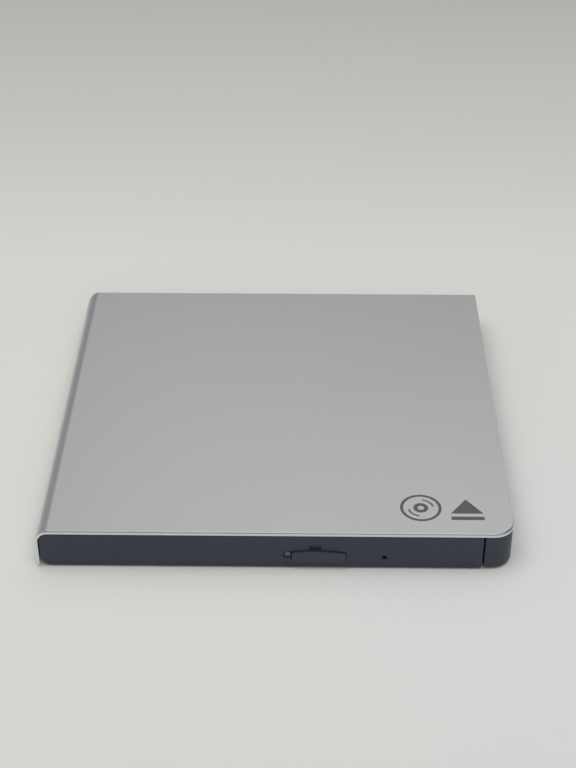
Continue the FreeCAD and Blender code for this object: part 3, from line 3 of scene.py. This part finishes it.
import bmesh
import bpy
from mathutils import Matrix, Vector


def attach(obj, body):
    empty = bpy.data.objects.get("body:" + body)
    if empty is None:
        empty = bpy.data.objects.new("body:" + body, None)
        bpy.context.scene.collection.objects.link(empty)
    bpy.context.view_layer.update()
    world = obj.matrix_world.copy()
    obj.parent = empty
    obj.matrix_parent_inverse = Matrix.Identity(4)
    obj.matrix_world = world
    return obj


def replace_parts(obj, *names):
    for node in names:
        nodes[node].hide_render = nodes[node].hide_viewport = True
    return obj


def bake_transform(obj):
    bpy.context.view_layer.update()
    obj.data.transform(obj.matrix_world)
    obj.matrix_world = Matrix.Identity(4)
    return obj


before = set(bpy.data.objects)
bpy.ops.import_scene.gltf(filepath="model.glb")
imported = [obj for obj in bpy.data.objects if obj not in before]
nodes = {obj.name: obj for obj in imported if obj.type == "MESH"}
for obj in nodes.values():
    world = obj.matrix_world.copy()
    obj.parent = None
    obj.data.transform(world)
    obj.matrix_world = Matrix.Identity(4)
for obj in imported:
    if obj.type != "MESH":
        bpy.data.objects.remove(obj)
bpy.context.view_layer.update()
MM = 0.001

# places on the drive, in millimetres
DISC_X, DISC_Y = -4.8, -1.9
SCREW_ACROSS, SCREW_Z, SCREW_LEAD = 19.0, 6.65, 3.0
DISC_MARK_X, EJECT_MARK_X, MARK_Y = 44.3, 58.2, -56.0
LABEL_BORDER_X, LABEL_BORDER_Y = 33.8, 23.8


# ---------------------------------------------------------------- material graphs
class Graph:
    """A procedural material, in the object's own coordinates in metres."""

    def __init__(self, name):
        self.mat = bpy.data.materials.new(name)
        self.mat.use_nodes = True
        self.tree = self.mat.node_tree
        self.tree.nodes.clear()
        out = self.node("OutputMaterial")
        self.shader = self.node("BsdfPrincipled")
        self.tree.links.new(self.shader.outputs[0], out.inputs[0])
        self.coords = self.node("TexCoord")
        self.place = self.coords.outputs["Object"]

    def node(self, kind):
        return self.tree.nodes.new("ShaderNode" + kind)

    def put(self, socket, value):
        if isinstance(value, bpy.types.NodeSocket):
            self.tree.links.new(value, socket)
        elif socket.type == "RGBA" and len(value) == 3:
            socket.default_value = (*value, 1.0)
        else:
            socket.default_value = value

    def math(self, operation, a, b=0.0, clamp=False):
        made = self.node("Math")
        made.operation = operation
        made.use_clamp = clamp
        self.put(made.inputs[0], a)
        self.put(made.inputs[1], b)
        return made.outputs[0]

    def add(self, *values):
        total = values[0]
        for value in values[1:]:
            total = self.math("ADD", total, value)
        return total

    def times(self, a, b):
        return self.math("MULTIPLY", a, b)

    def minus(self, a, b):
        return self.math("SUBTRACT", a, b)

    def absolute(self, value):
        return self.math("ABSOLUTE", value)

    def length(self, a, b):
        return self.math("SQRT", self.add(self.times(a, a), self.times(b, b)))

    def map(self, value, low, high, to_low=0.0, to_high=1.0):
        """Low to high becomes to_low to to_high, and the value stops at both ends."""
        made = self.node("MapRange")
        for socket, v in zip(made.inputs, (value, low, high, to_low, to_high)):
            self.put(socket, v)
        return made.outputs[0]

    def mix(self, factor, a, b):
        made = self.node("Mix")
        made.data_type = "RGBA"
        self.put(made.inputs[0], factor)
        self.put(made.inputs[6], a)
        self.put(made.inputs[7], b)
        return made.outputs[2]

    def axes(self, socket=None):
        made = self.node("SeparateXYZ")
        self.put(made.inputs[0], self.place if socket is None else socket)
        return made.outputs

    def scaled(self, stretch, turn):
        made = self.node("Mapping")
        self.put(made.inputs["Vector"], self.place)
        made.inputs["Rotation"].default_value = (0, 0, turn)
        made.inputs["Scale"].default_value = stretch
        return made.outputs[0]

    def noise(self, size_mm, detail=2.0, stretch=(1, 1, 1), turn=0.0, roughness=0.5):
        made = self.node("TexNoise")
        self.put(made.inputs["Vector"], self.scaled(stretch, turn))
        made.inputs["Scale"].default_value = 1 / (size_mm * MM)
        made.inputs["Detail"].default_value = detail
        made.inputs["Roughness"].default_value = roughness
        return made.outputs[0]

    def cells(self, size_mm):
        """The distance to the centre of the nearest cell."""
        made = self.node("TexVoronoi")
        self.put(made.inputs["Vector"], self.place)
        made.inputs["Scale"].default_value = 1 / (size_mm * MM)
        return made.outputs["Distance"]

    def bump(self, *layers):
        """Each layer is a height from 0 to 1 and its depth in millimetres."""
        normal = None
        for height, depth in layers:
            made = self.node("Bump")
            made.inputs["Distance"].default_value = depth * MM
            self.put(made.inputs["Height"], height)
            if normal is not None:
                self.put(made.inputs["Normal"], normal)
            normal = made.outputs[0]
        self.put(self.shader.inputs["Normal"], normal)

    def tint(self, colour, *parts):
        """The colour with its brightness varied: each part is a height from 0 to 1 and an amount."""
        total = 1.0 - sum(amount for _, amount in parts) / 2
        for height, amount in parts:
            total = self.add(total, self.times(height, amount))
        made = self.node("VectorMath")
        made.operation = "SCALE"
        if isinstance(colour, tuple):
            made.inputs[0].default_value = colour
        else:
            self.put(made.inputs[0], colour)
        self.put(made.inputs["Scale"], total)
        return made.outputs[0]

    def wobble(self, base, *parts):
        """A roughness that varies about its base: each part is a height from 0 to 1 and an amount."""
        total = base - sum(amount for _, amount in parts) / 2
        for height, amount in parts:
            total = self.add(total, self.times(height, amount))
        return total

    def finish(self, **values):
        """Sets the shader's inputs by name and returns the material."""
        for name, value in values.items():
            self.put(self.shader.inputs[name.replace("_", " ")], value)
        return self.mat


def moulded(name, colour, rough, grain, depth, specular=0.5):
    """Moulded plastic or rubber: a fine spark-eroded grain over slow changes of tone."""
    g = Graph(name)
    fine = g.noise(grain, 3, roughness=0.65)
    slow = g.noise(14, 2)
    dust = g.noise(1.6, 4, roughness=0.7)
    base = g.tint(colour, (fine, 0.16), (slow, 0.10), (dust, 0.06))
    g.bump((slow, 0.02), (fine, depth))
    return g.finish(Base_Color=base, Roughness=g.wobble(rough, (fine, 0.10), (slow, 0.08)),
                    Specular_IOR_Level=specular)


def metal(name, colour, rough, stretch=(1, 30, 30), turn=0.0, depth=0.003):
    """Rolled, drawn or brushed metal: fine lines along one direction and faint handling stains."""
    g = Graph(name)
    lines = g.noise(2.4, 3, stretch, turn, 0.7)
    broad = g.noise(6.0, 2, tuple(1 + (v - 1) * 0.3 for v in stretch), turn)
    cloud = g.noise(17, 3)
    base = g.tint(colour, (lines, 0.12), (broad, 0.08), (cloud, 0.10))
    g.bump((broad, depth * 2), (lines, depth))
    return g.finish(Base_Color=base, Metallic=1.0, Roughness=g.wobble(rough, (lines, 0.12), (cloud, 0.10)))


PRINT_EDGE = 0.03  # half the width over which a printed edge fades, in millimetres


def above(g, value, limit):
    """1 where the value in metres is over the limit in millimetres."""
    return g.map(value, (limit - PRINT_EDGE) * MM, (limit + PRINT_EDGE) * MM)


def below(g, value, limit):
    """1 where the value in metres is under the limit in millimetres."""
    return g.map(value, (limit - PRINT_EDGE) * MM, (limit + PRINT_EDGE) * MM, 1.0, 0.0)


def ring(g, dx, dy, inner, outer):
    """1 between two radii in millimetres."""
    middle = (inner + outer) / 2 * MM
    return below(g, g.absolute(g.minus(g.length(dx, dy), middle)), (outer - inner) / 2)


def printed_marks(g, x, y):
    """A plain disc, and an eject triangle over its bar."""
    dx, dy = g.minus(x, DISC_MARK_X * MM), g.minus(y, MARK_Y * MM)
    rim = ring(g, dx, dy, 5.35, 6.3)
    hub = ring(g, dx, dy, 1.0, 2.25)
    # two short arcs, in the opposite quarters where dx and dy have the same sign
    shine = g.times(ring(g, dx, dy, 3.5, 4.1), g.map(g.times(dx, dy), 2.2 * MM * MM, 2.6 * MM * MM))
    aside, up = g.absolute(g.minus(x, EJECT_MARK_X * MM)), g.minus(y, (MARK_Y - 5.6) * MM)
    bar = g.times(below(g, aside, 5.0), below(g, g.absolute(g.minus(up, 0.8 * MM)), 0.8))
    sides = g.add(up, g.times(aside, 1.36))
    triangle = g.times(below(g, sides, 9.8), above(g, up, 3.0))
    return g.add(rim, hub, shine, bar, triangle)


def cover_material():
    """Satin silver coat with fine flake and two plain printed symbols, with painted highlight, shade and
    reflection on the front bevel and the left fold.
    """
    g = Graph("cover_silver")
    x, y, z = g.axes()
    nx, ny, nz = g.axes(g.coords.outputs["Normal"])
    sparkle = g.math("FRACT", g.times(g.cells(0.16), 7.31))
    fine = g.noise(0.3, 3, roughness=0.7)
    slow = g.noise(38, 2)
    haze = g.noise(9, 3)
    silver = g.tint((0.76, 0.775, 0.772), (sparkle, 0.07), (fine, 0.05), (slow, 0.03), (haze, 0.015))

    # painted shade and highlight: where the sheet folds down on the left, a painted darker band lies above a
    # painted paler one
    fold = g.times(g.map(nx, -0.09, -0.13), g.map(nx, -0.40, -0.24))
    silver = g.mix(fold, silver, (0.65, 0.66, 0.675))
    silver = g.mix(g.map(nx, -0.36, -0.50), silver, (0.83, 0.84, 0.85))

    # the bevel: faces at 45 degrees along the front, with a painted highlight above and painted shade below
    cut = g.map(g.absolute(g.minus(nz, 0.707)), 0.10, 0.16, 1.0, 0.0)
    ahead = g.times(g.map(ny, -0.62, -0.25, 1.0, 0.0), g.map(y, -0.0610, -0.0625))
    ahead = g.times(ahead, g.map(nx, -0.20, -0.14))
    bevel = g.math("MULTIPLY", cut, ahead, clamp=True)
    upper = g.map(z, 0.01374, 0.01380)
    # a painted dark reflection (a glint) on the bevel's upper half, halfway round the right front corner
    corner = g.times(g.map(nx, 0.34, 0.42), g.map(nx, 0.64, 0.56))
    glint = g.times(g.times(cut, upper), corner)

    # the print lies on the flat top only
    marks = g.math("MULTIPLY", printed_marks(g, x, y), g.map(z, 0.01395, 0.01396), clamp=True)

    # painted shade over the whole bevel, then a painted highlight on its upper half and the painted dark glint
    # at the corner
    silver = g.mix(g.times(bevel, 0.9), silver, (0.20, 0.205, 0.21))
    base = g.mix(g.times(bevel, upper), silver, (0.79, 0.80, 0.80))
    base = g.mix(g.times(glint, 0.75), base, (0.08, 0.085, 0.09))
    base = g.mix(marks, base, (0.10, 0.105, 0.115))
    g.bump((slow, 0.02), (fine, 0.0022))
    return g.finish(Base_Color=base, Metallic=g.minus(0.80, g.times(marks, 0.74)),
                    Roughness=g.wobble(0.34, (sparkle, 0.05), (fine, 0.06), (haze, 0.03)))


def board_material():
    """Circuit board: solder resist over copper tracks, with tinned pads."""
    g = Graph("board_green")
    x, y, _ = g.axes()
    wander = g.noise(5, 1)
    # 620 and 540 tracks to the metre, bent a little
    across = g.math("FRACT", g.add(g.times(x, 620.0), g.times(wander, 2.0)))
    along = g.math("FRACT", g.add(g.times(y, 540.0), g.times(wander, 1.4)))
    tracks = g.math("MAXIMUM", g.map(across, 0.30, 0.36), g.map(along, 0.42, 0.48))
    field = g.noise(7, 0)
    tracks = g.times(tracks, g.map(field, 0.45, 0.55))
    pads = g.map(g.cells(2.3), 0.16, 0.2, 1.0, 0.0)
    resist = g.mix(tracks, (0.012, 0.075, 0.04), (0.02, 0.13, 0.06))
    base = g.mix(pads, g.tint(resist, (g.noise(0.5, 3), 0.2)), (0.72, 0.66, 0.5))
    g.bump((tracks, 0.03), (pads, 0.02))
    return g.finish(Base_Color=base, Metallic=g.times(pads, 0.9),
                    Roughness=g.wobble(0.33, (pads, 0.1), (field, 0.1)))


def winding_material():
    """Enamelled copper wire, wound round each tooth."""
    g = Graph("copper_winding")
    wire_pitch = 0.22
    x, y, _ = g.axes()
    radius = g.length(g.minus(x, DISC_X * MM), g.minus(y, DISC_Y * MM))
    wire = g.absolute(g.math("SINE", g.times(radius, math.pi / (wire_pitch * MM))))
    loose = g.noise(0.8, 2)
    # painted shade: the copper is coloured dark in the lines between neighbouring turns
    base = g.tint(g.mix(wire, (0.20, 0.065, 0.02), (0.85, 0.36, 0.14)), (loose, 0.3))
    g.bump((wire, 0.07), (loose, 0.03))
    return g.finish(Base_Color=base, Metallic=0.9, Roughness=g.wobble(0.3, (loose, 0.15)))


def thread_material():
    """Ground steel with a 3 mm lead groove that winds along the sled's direction."""
    g = Graph("lead_screw_steel")
    k = math.sqrt(0.5)  # the sled runs at 45 degrees
    x, y, z = g.axes()
    dx, dy = g.minus(x, DISC_X * MM), g.minus(y, DISC_Y * MM)
    along = g.add(g.times(dx, -k), g.times(dy, -k))
    aside = g.minus(g.add(g.times(dx, k), g.times(dy, -k)), SCREW_ACROSS * MM)
    turn = g.math("ARCTAN2", g.minus(z, SCREW_Z * MM), aside)
    phase = g.math("FRACT", g.minus(g.times(along, 1 / (SCREW_LEAD * MM)), g.times(turn, 1 / (2 * math.pi))))
    groove = g.map(g.absolute(g.minus(phase, 0.5)), 0.13, 0.2, 1.0, 0.0)
    lines = g.noise(0.7, 3, (1, 1, 8), 0, 0.7)
    # painted shade: the groove is coloured dark, as the shade inside it
    base = g.mix(groove, g.tint((0.66, 0.66, 0.67), (lines, 0.15)), (0.16, 0.155, 0.15))
    g.bump((g.minus(1.0, groove), 0.35), (lines, 0.004))
    return g.finish(Base_Color=base, Metallic=1.0, Roughness=g.wobble(0.24, (lines, 0.12), (groove, 0.15)))


def label_material():
    """Blank silver rating label: a printed border on satin film."""
    g = Graph("label_film")
    x, y, _ = g.axes()
    past_x = g.minus(g.absolute(x), LABEL_BORDER_X * MM)
    past_y = g.minus(g.absolute(y), LABEL_BORDER_Y * MM)
    edge = g.math("MAXIMUM", past_x, past_y)
    line = g.map(g.absolute(edge), 0.18 * MM, 0.24 * MM, 1.0, 0.0)
    weave = g.noise(0.5, 3, (1, 12, 1))
    film = g.tint((0.56, 0.57, 0.57), (weave, 0.08), (g.noise(12, 2), 0.05))
    g.bump((weave, 0.004))
    return g.finish(Base_Color=g.mix(line, film, (0.06, 0.06, 0.07)), Metallic=0.35,
                    Roughness=g.wobble(0.42, (weave, 0.12)))


def flex_material():
    """White flat cable: tinned conductors that show through the film."""
    g = Graph("flex_film")
    lane_pitch = 0.5
    x, _, _ = g.axes()
    lane = g.absolute(g.math("SINE", g.times(x, math.pi / (lane_pitch * MM))))
    wire = g.map(lane, 0.45, 0.7)
    cloud = g.noise(6, 2)
    base = g.mix(wire, g.tint((0.74, 0.74, 0.72), (cloud, 0.06)), (0.52, 0.53, 0.54))
    g.bump((wire, 0.02), (cloud, 0.02))
    return g.finish(Base_Color=base, Roughness=g.wobble(0.34, (wire, 0.08), (cloud, 0.08)))


def glass_material(name, colour, rough, through, tinted):
    """Glass or clear plastic: through is how much light passes, tinted how much its tone varies."""
    g = Graph(name)
    haze = g.noise(0.5, 2)
    base = g.tint(colour, (haze, tinted))
    g.bump((haze, 0.002))
    return g.finish(Base_Color=base, Roughness=g.wobble(rough, (haze, 0.06)),
                    Transmission_Weight=through, IOR=1.52)


SILVER = cover_material()
CASE = moulded("case_dark", (0.031, 0.042, 0.058), 0.46, grain=0.4, depth=0.014, specular=0.42)
BEZEL = moulded("bezel_dark", (0.031, 0.0405, 0.059), 0.42, grain=0.35, depth=0.010, specular=0.42)
BUTTON = moulded("button_dark", (0.031, 0.041, 0.058), 0.36, grain=0.3, depth=0.008, specular=0.45)
RUBBER = moulded("rubber_black", (0.018, 0.018, 0.019), 0.72, grain=0.6, depth=0.03)
TRAY = moulded("tray_black", (0.016, 0.017, 0.019), 0.5, grain=0.45, depth=0.02)
BLACK = moulded("plastic_black", (0.02, 0.02, 0.022), 0.42, grain=0.3, depth=0.01)
GREY = moulded("plastic_grey", (0.16, 0.165, 0.17), 0.4, grain=0.3, depth=0.01)
ACETAL = moulded("acetal_white", (0.72, 0.71, 0.67), 0.34, grain=0.5, depth=0.006)
STEEL = metal("sheet_steel", (0.50, 0.51, 0.52), 0.34)
STEEL_DARK = metal("frame_steel", (0.34, 0.35, 0.36), 0.38, turn=math.radians(45))
TURNED = metal("turned_steel", (0.66, 0.66, 0.67), 0.2, stretch=(8, 8, 30))
RODS = metal("ground_rod", (0.68, 0.68, 0.69), 0.16, stretch=(2, 20, 20), turn=math.radians(45))
SCREW_BLACK = metal("screw_black", (0.07, 0.07, 0.075), 0.36, stretch=(3, 3, 3))
SCREW_STEEL = metal("screw_steel", (0.55, 0.55, 0.56), 0.3, stretch=(3, 3, 3))
ALLOY = metal("under_plate_alloy", (0.52, 0.53, 0.53), 0.36, stretch=(30, 1, 30))
CAST = metal("zinc_cast", (0.36, 0.36, 0.37), 0.46, stretch=(2, 2, 2), depth=0.02)
IRON = metal("laminated_iron", (0.16, 0.16, 0.17), 0.4, stretch=(1, 1, 40))
BRONZE = metal("sintered_bronze", (0.45, 0.31, 0.16), 0.42, stretch=(3, 3, 3), depth=0.01)
GOLD = metal("gold_contact", (0.88, 0.66, 0.27), 0.22, stretch=(30, 1, 30))
SPRING = metal("spring_steel", (0.60, 0.60, 0.62), 0.24, stretch=(6, 6, 6))
BOARD = board_material()

FINISH = {
    SILVER: ["top_cover"],
    CASE: ["bottom_case"],
    BEZEL: ["tray_bezel"],
    BUTTON: ["eject_button"],
    RUBBER: ["rubber_feet", "dampers", "turntable_pad"],
    label_material(): ["rating_label"],
    SCREW_BLACK: ["case_screws", "tray_screws", "damper_screws"],
    SCREW_STEEL: ["chassis_screws", "board_screws"],
    STEEL: ["chassis_pan", "chassis_lid", "rail_left", "rail_right", "usb_shell", "sled_motor", "pickup_cover",
            "screw_bracket"],
    STEEL_DARK: ["traverse_frame", "motor_base"],
    TURNED: ["rotor_cup", "spindle_shaft", "latch_pin", "solenoid_core"],
    RODS: ["guide_rods"],
    thread_material(): ["lead_screw"],
    ACETAL: ["guide_left", "guide_right", "rack_nut"],
    TRAY: ["tray"],
    BLACK: ["eject_switch", "spindle_hub", "lens_holder", "latch_lever", "usb_insert", "board_connector",
            "tray_connector", "latch_solenoid", "main_board_parts", "front_board_parts"],
    GREY: ["clamp_claw_1", "clamp_claw_2", "clamp_claw_3", "switch_plunger"],
    BOARD: ["main_board", "front_board"],
    ALLOY: ["tray_bottom_plate"],
    CAST: ["pickup_carriage"],
    IRON: ["stator_core", "rotor_magnet"],
    winding_material(): ["stator_coils"],
    BRONZE: ["bearing_sleeve"],
    GOLD: ["usb_contacts"],
    SPRING: ["latch_spring"],
    glass_material("lens_glass", (0.70, 0.80, 0.95), 0.04, 0.8, 0.05): ["objective_lens"],
    glass_material("light_pipe", (0.10, 0.145, 0.15), 0.35, 0.25, 0.25): ["led_lens"],
}
for material, names in FINISH.items():
    for name in names:
        for slot in nodes[name].material_slots:
            slot.link = "OBJECT"
            slot.material = material


# ---------------------------------------------------------------- flat cable: a tail on the casing and a loop
FLEX_ACROSS = [-14.0 + 2.5 * i for i in range(9)]
FLEX_HALF_THICK = 0.075
LOWER, UPPER, PLUG, FOLD = 2.695, 3.375, 4.75, -39.66  # heights of its runs, and where it folds back


def ribbon(name, path, material):
    """A flat strip 20 mm wide and 0.15 mm thick along a path of Y and Z points in millimetres."""
    made = bmesh.new()
    rows = []
    for i, (y, z) in enumerate(path):
        before, after = Vector(path[max(i - 1, 0)]), Vector(path[min(i + 1, len(path) - 1)])
        tangent = (after - before).normalized()
        off = Vector((-tangent.y, tangent.x)) * FLEX_HALF_THICK
        rows.append([
            made.verts.new((x * MM, (y + side * off.x) * MM, (z + side * off.y) * MM))
            for side, xs in ((1, FLEX_ACROSS), (-1, FLEX_ACROSS[::-1])) for x in xs
        ])
    for a, b in zip(rows, rows[1:]):
        for k in range(len(a)):
            n = (k + 1) % len(a)
            made.faces.new((a[k], a[n], b[n], b[k]))
    made.faces.new(rows[0][::-1])
    made.faces.new(rows[-1])
    bmesh.ops.recalc_face_normals(made, faces=made.faces)
    mesh = bpy.data.meshes.new(name)
    made.to_mesh(mesh)
    made.free()
    strip = bpy.data.objects.new(name, mesh)
    strip.data.materials.append(material)
    bpy.context.scene.collection.objects.link(strip)
    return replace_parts(strip, "flex_cable")


def arc(cy, cz, radius, start, stop, steps=8):
    """Points of Y and Z round a centre, from one angle in degrees to another."""
    angles = [math.radians(start + (stop - start) * i / steps) for i in range(steps + 1)]
    return [(cy + radius * math.cos(a), cz + radius * math.sin(a)) for a in angles]


def run(start, stop, z, steps):
    """Points of Y and Z along a level line."""
    return [(start + (stop - start) * i / steps, z) for i in range(steps + 1)]


flex = flex_material()
# the tail leaves the main board's connector, drops, runs forward and folds back over itself
tail = run(33.0, 30.5, 4.5, 3) + arc(30.5, 4.2, 0.3, 90, 180)[1:]
tail += arc(29.9, 2.995, 0.3, 0, -90) + run(29.5, FOLD + 0.1, LOWER, 40)
tail += arc(FOLD, (LOWER + UPPER) / 2, (UPPER - LOWER) / 2, 270, 90, 12)
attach(ribbon("flex_tail", tail, flex), "casing")
# the loop runs back from the fold, and climbs to the tray's connector
loop = run(FOLD, 27.8, UPPER, 60) + arc(28.0, UPPER + 0.3, 0.3, -90, 0)[1:]
loop += arc(28.0, PLUG - 0.3, 0.3, 0, 90) + run(27.8, 22.1, PLUG, 6)
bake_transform(ribbon("flex_loop", loop, flex))


# ---------------------------------------------------------------- stage, light and camera
def plane(name, half, material):
    """A square on the ground, from -half to half in metres."""
    mesh = bpy.data.meshes.new(name)
    corners = [(-half, -half, 0), (half, -half, 0), (half, half, 0), (-half, half, 0)]
    mesh.from_pydata(corners, [], [(0, 1, 2, 3)])
    made = bpy.data.objects.new(name, mesh)
    made.data.materials.append(material)
    bpy.context.scene.collection.objects.link(made)
    return made


def floor_material():
    """Pale seamless paper, whose tone changes slowly from front to back: painted shade darkens it towards the
    back, and it is also a little darker at the very front.
    """
    g = Graph("pale_floor")
    x, y, _ = g.axes()
    across = g.map(x, -0.12, 0.12)
    near = g.mix(across, (0.80, 0.80, 0.765), (0.80, 0.793, 0.79))
    back = g.mix(across, (0.81, 0.817, 0.757), (0.805, 0.806, 0.780))
    base = g.mix(g.map(y, -0.30, -0.10), (0.72, 0.716, 0.696), near)
    base = g.mix(g.map(y, -0.08, 0.10), base, back)
    # painted shade: from here back the paper's colour darkens, where less light reaches it
    base = g.mix(g.map(y, 0.115, 0.25), base, (0.70, 0.706, 0.655))
    base = g.mix(g.map(y, 0.25, 0.42), base, (0.605, 0.61, 0.562))
    g.bump((g.noise(2, 2), 0.004))
    # painted light: beyond the lights' reach the paper glows a little, so that it stays pale until it fades
    # into the sky
    away = g.length(x, y)
    glow = g.times(g.map(away, 0.62, 2.3, 0.0, 0.42), g.map(away, 2.3, 9.0, 1.0, 0.0))
    return g.finish(Base_Color=g.tint(base, (g.noise(60, 2), 0.015)), Roughness=0.75, Specular_IOR_Level=0.2,
                    Emission_Color=(0.98, 0.98, 0.955), Emission_Strength=glow)


floor = plane("floor", 14, floor_material())


def area(name, place, size, power, colour=(1, 1, 1)):
    """A rectangular light that faces the origin, in metres and watts."""
    light = bpy.data.lights.new(name, "AREA")
    light.shape = "RECTANGLE"
    light.size, light.size_y = size
    light.energy = power
    light.color = colour
    made = bpy.data.objects.new(name, light)
    made.location = place
    made.rotation_euler = (-Vector(place)).to_track_quat("-Z", "Y").to_euler()
    bpy.context.scene.collection.objects.link(made)
    return made


overhead = area("overhead", (-0.12, -0.25, 1.45), (1.7, 1.3), 13.2, (1.0, 0.997, 0.985))
# kept out of reflections, or the cover burns out when it is seen from straight above
overhead.visible_glossy = False
area("back_window", (0.5, 1.15, 1.4), (2.2, 0.8), 2.0)
area("front_fill", (0.2, -1.5, 0.9), (1.4, 0.8), 4)


def studio_sky():
    """A dim horizon under a brighter overhead, a little brighter to the right."""
    horizon, zenith = (0.62, 0.625, 0.63, 1), (1.25, 1.26, 1.27, 1)
    rightward, strength = 0.06, 0.27
    world = bpy.data.worlds.new("studio")
    world.use_nodes = True
    tree = world.node_tree
    backdrop = tree.nodes["Background"]
    coords = tree.nodes.new("ShaderNodeTexCoord")
    parts = tree.nodes.new("ShaderNodeSeparateXYZ")
    lean = tree.nodes.new("ShaderNodeMath")
    lean.operation = "MULTIPLY_ADD"
    lean.inputs[1].default_value = rightward
    ramp = tree.nodes.new("ShaderNodeValToRGB")
    for element, position, colour in zip(ramp.color_ramp.elements, (0.32, 0.75), (horizon, zenith)):
        element.position = position
        element.color = colour
    tree.links.new(coords.outputs["Generated"], parts.inputs[0])
    tree.links.new(parts.outputs[0], lean.inputs[0])
    tree.links.new(parts.outputs[2], lean.inputs[2])
    tree.links.new(lean.outputs[0], ramp.inputs[0])
    tree.links.new(ramp.outputs[0], backdrop.inputs[0])
    backdrop.inputs[1].default_value = strength
    bpy.context.scene.world = world


studio_sky()
bpy.context.scene.view_settings.view_transform = "Standard"

# the photograph's viewpoint: 34.74 degrees down, and turned 0.68 degrees to the left
lens = bpy.data.cameras.new("camera")
lens.lens = 70.6
lens.sensor_width = 36
lens.clip_start = 0.01
camera = bpy.data.objects.new("camera", lens)
camera.location = (8.2 * MM, -410.7 * MM, 305.4 * MM)
camera.rotation_euler = (math.radians(90 - 34.74), 0, math.radians(0.68))
bpy.context.scene.collection.objects.link(camera)
bpy.context.scene.camera = camera
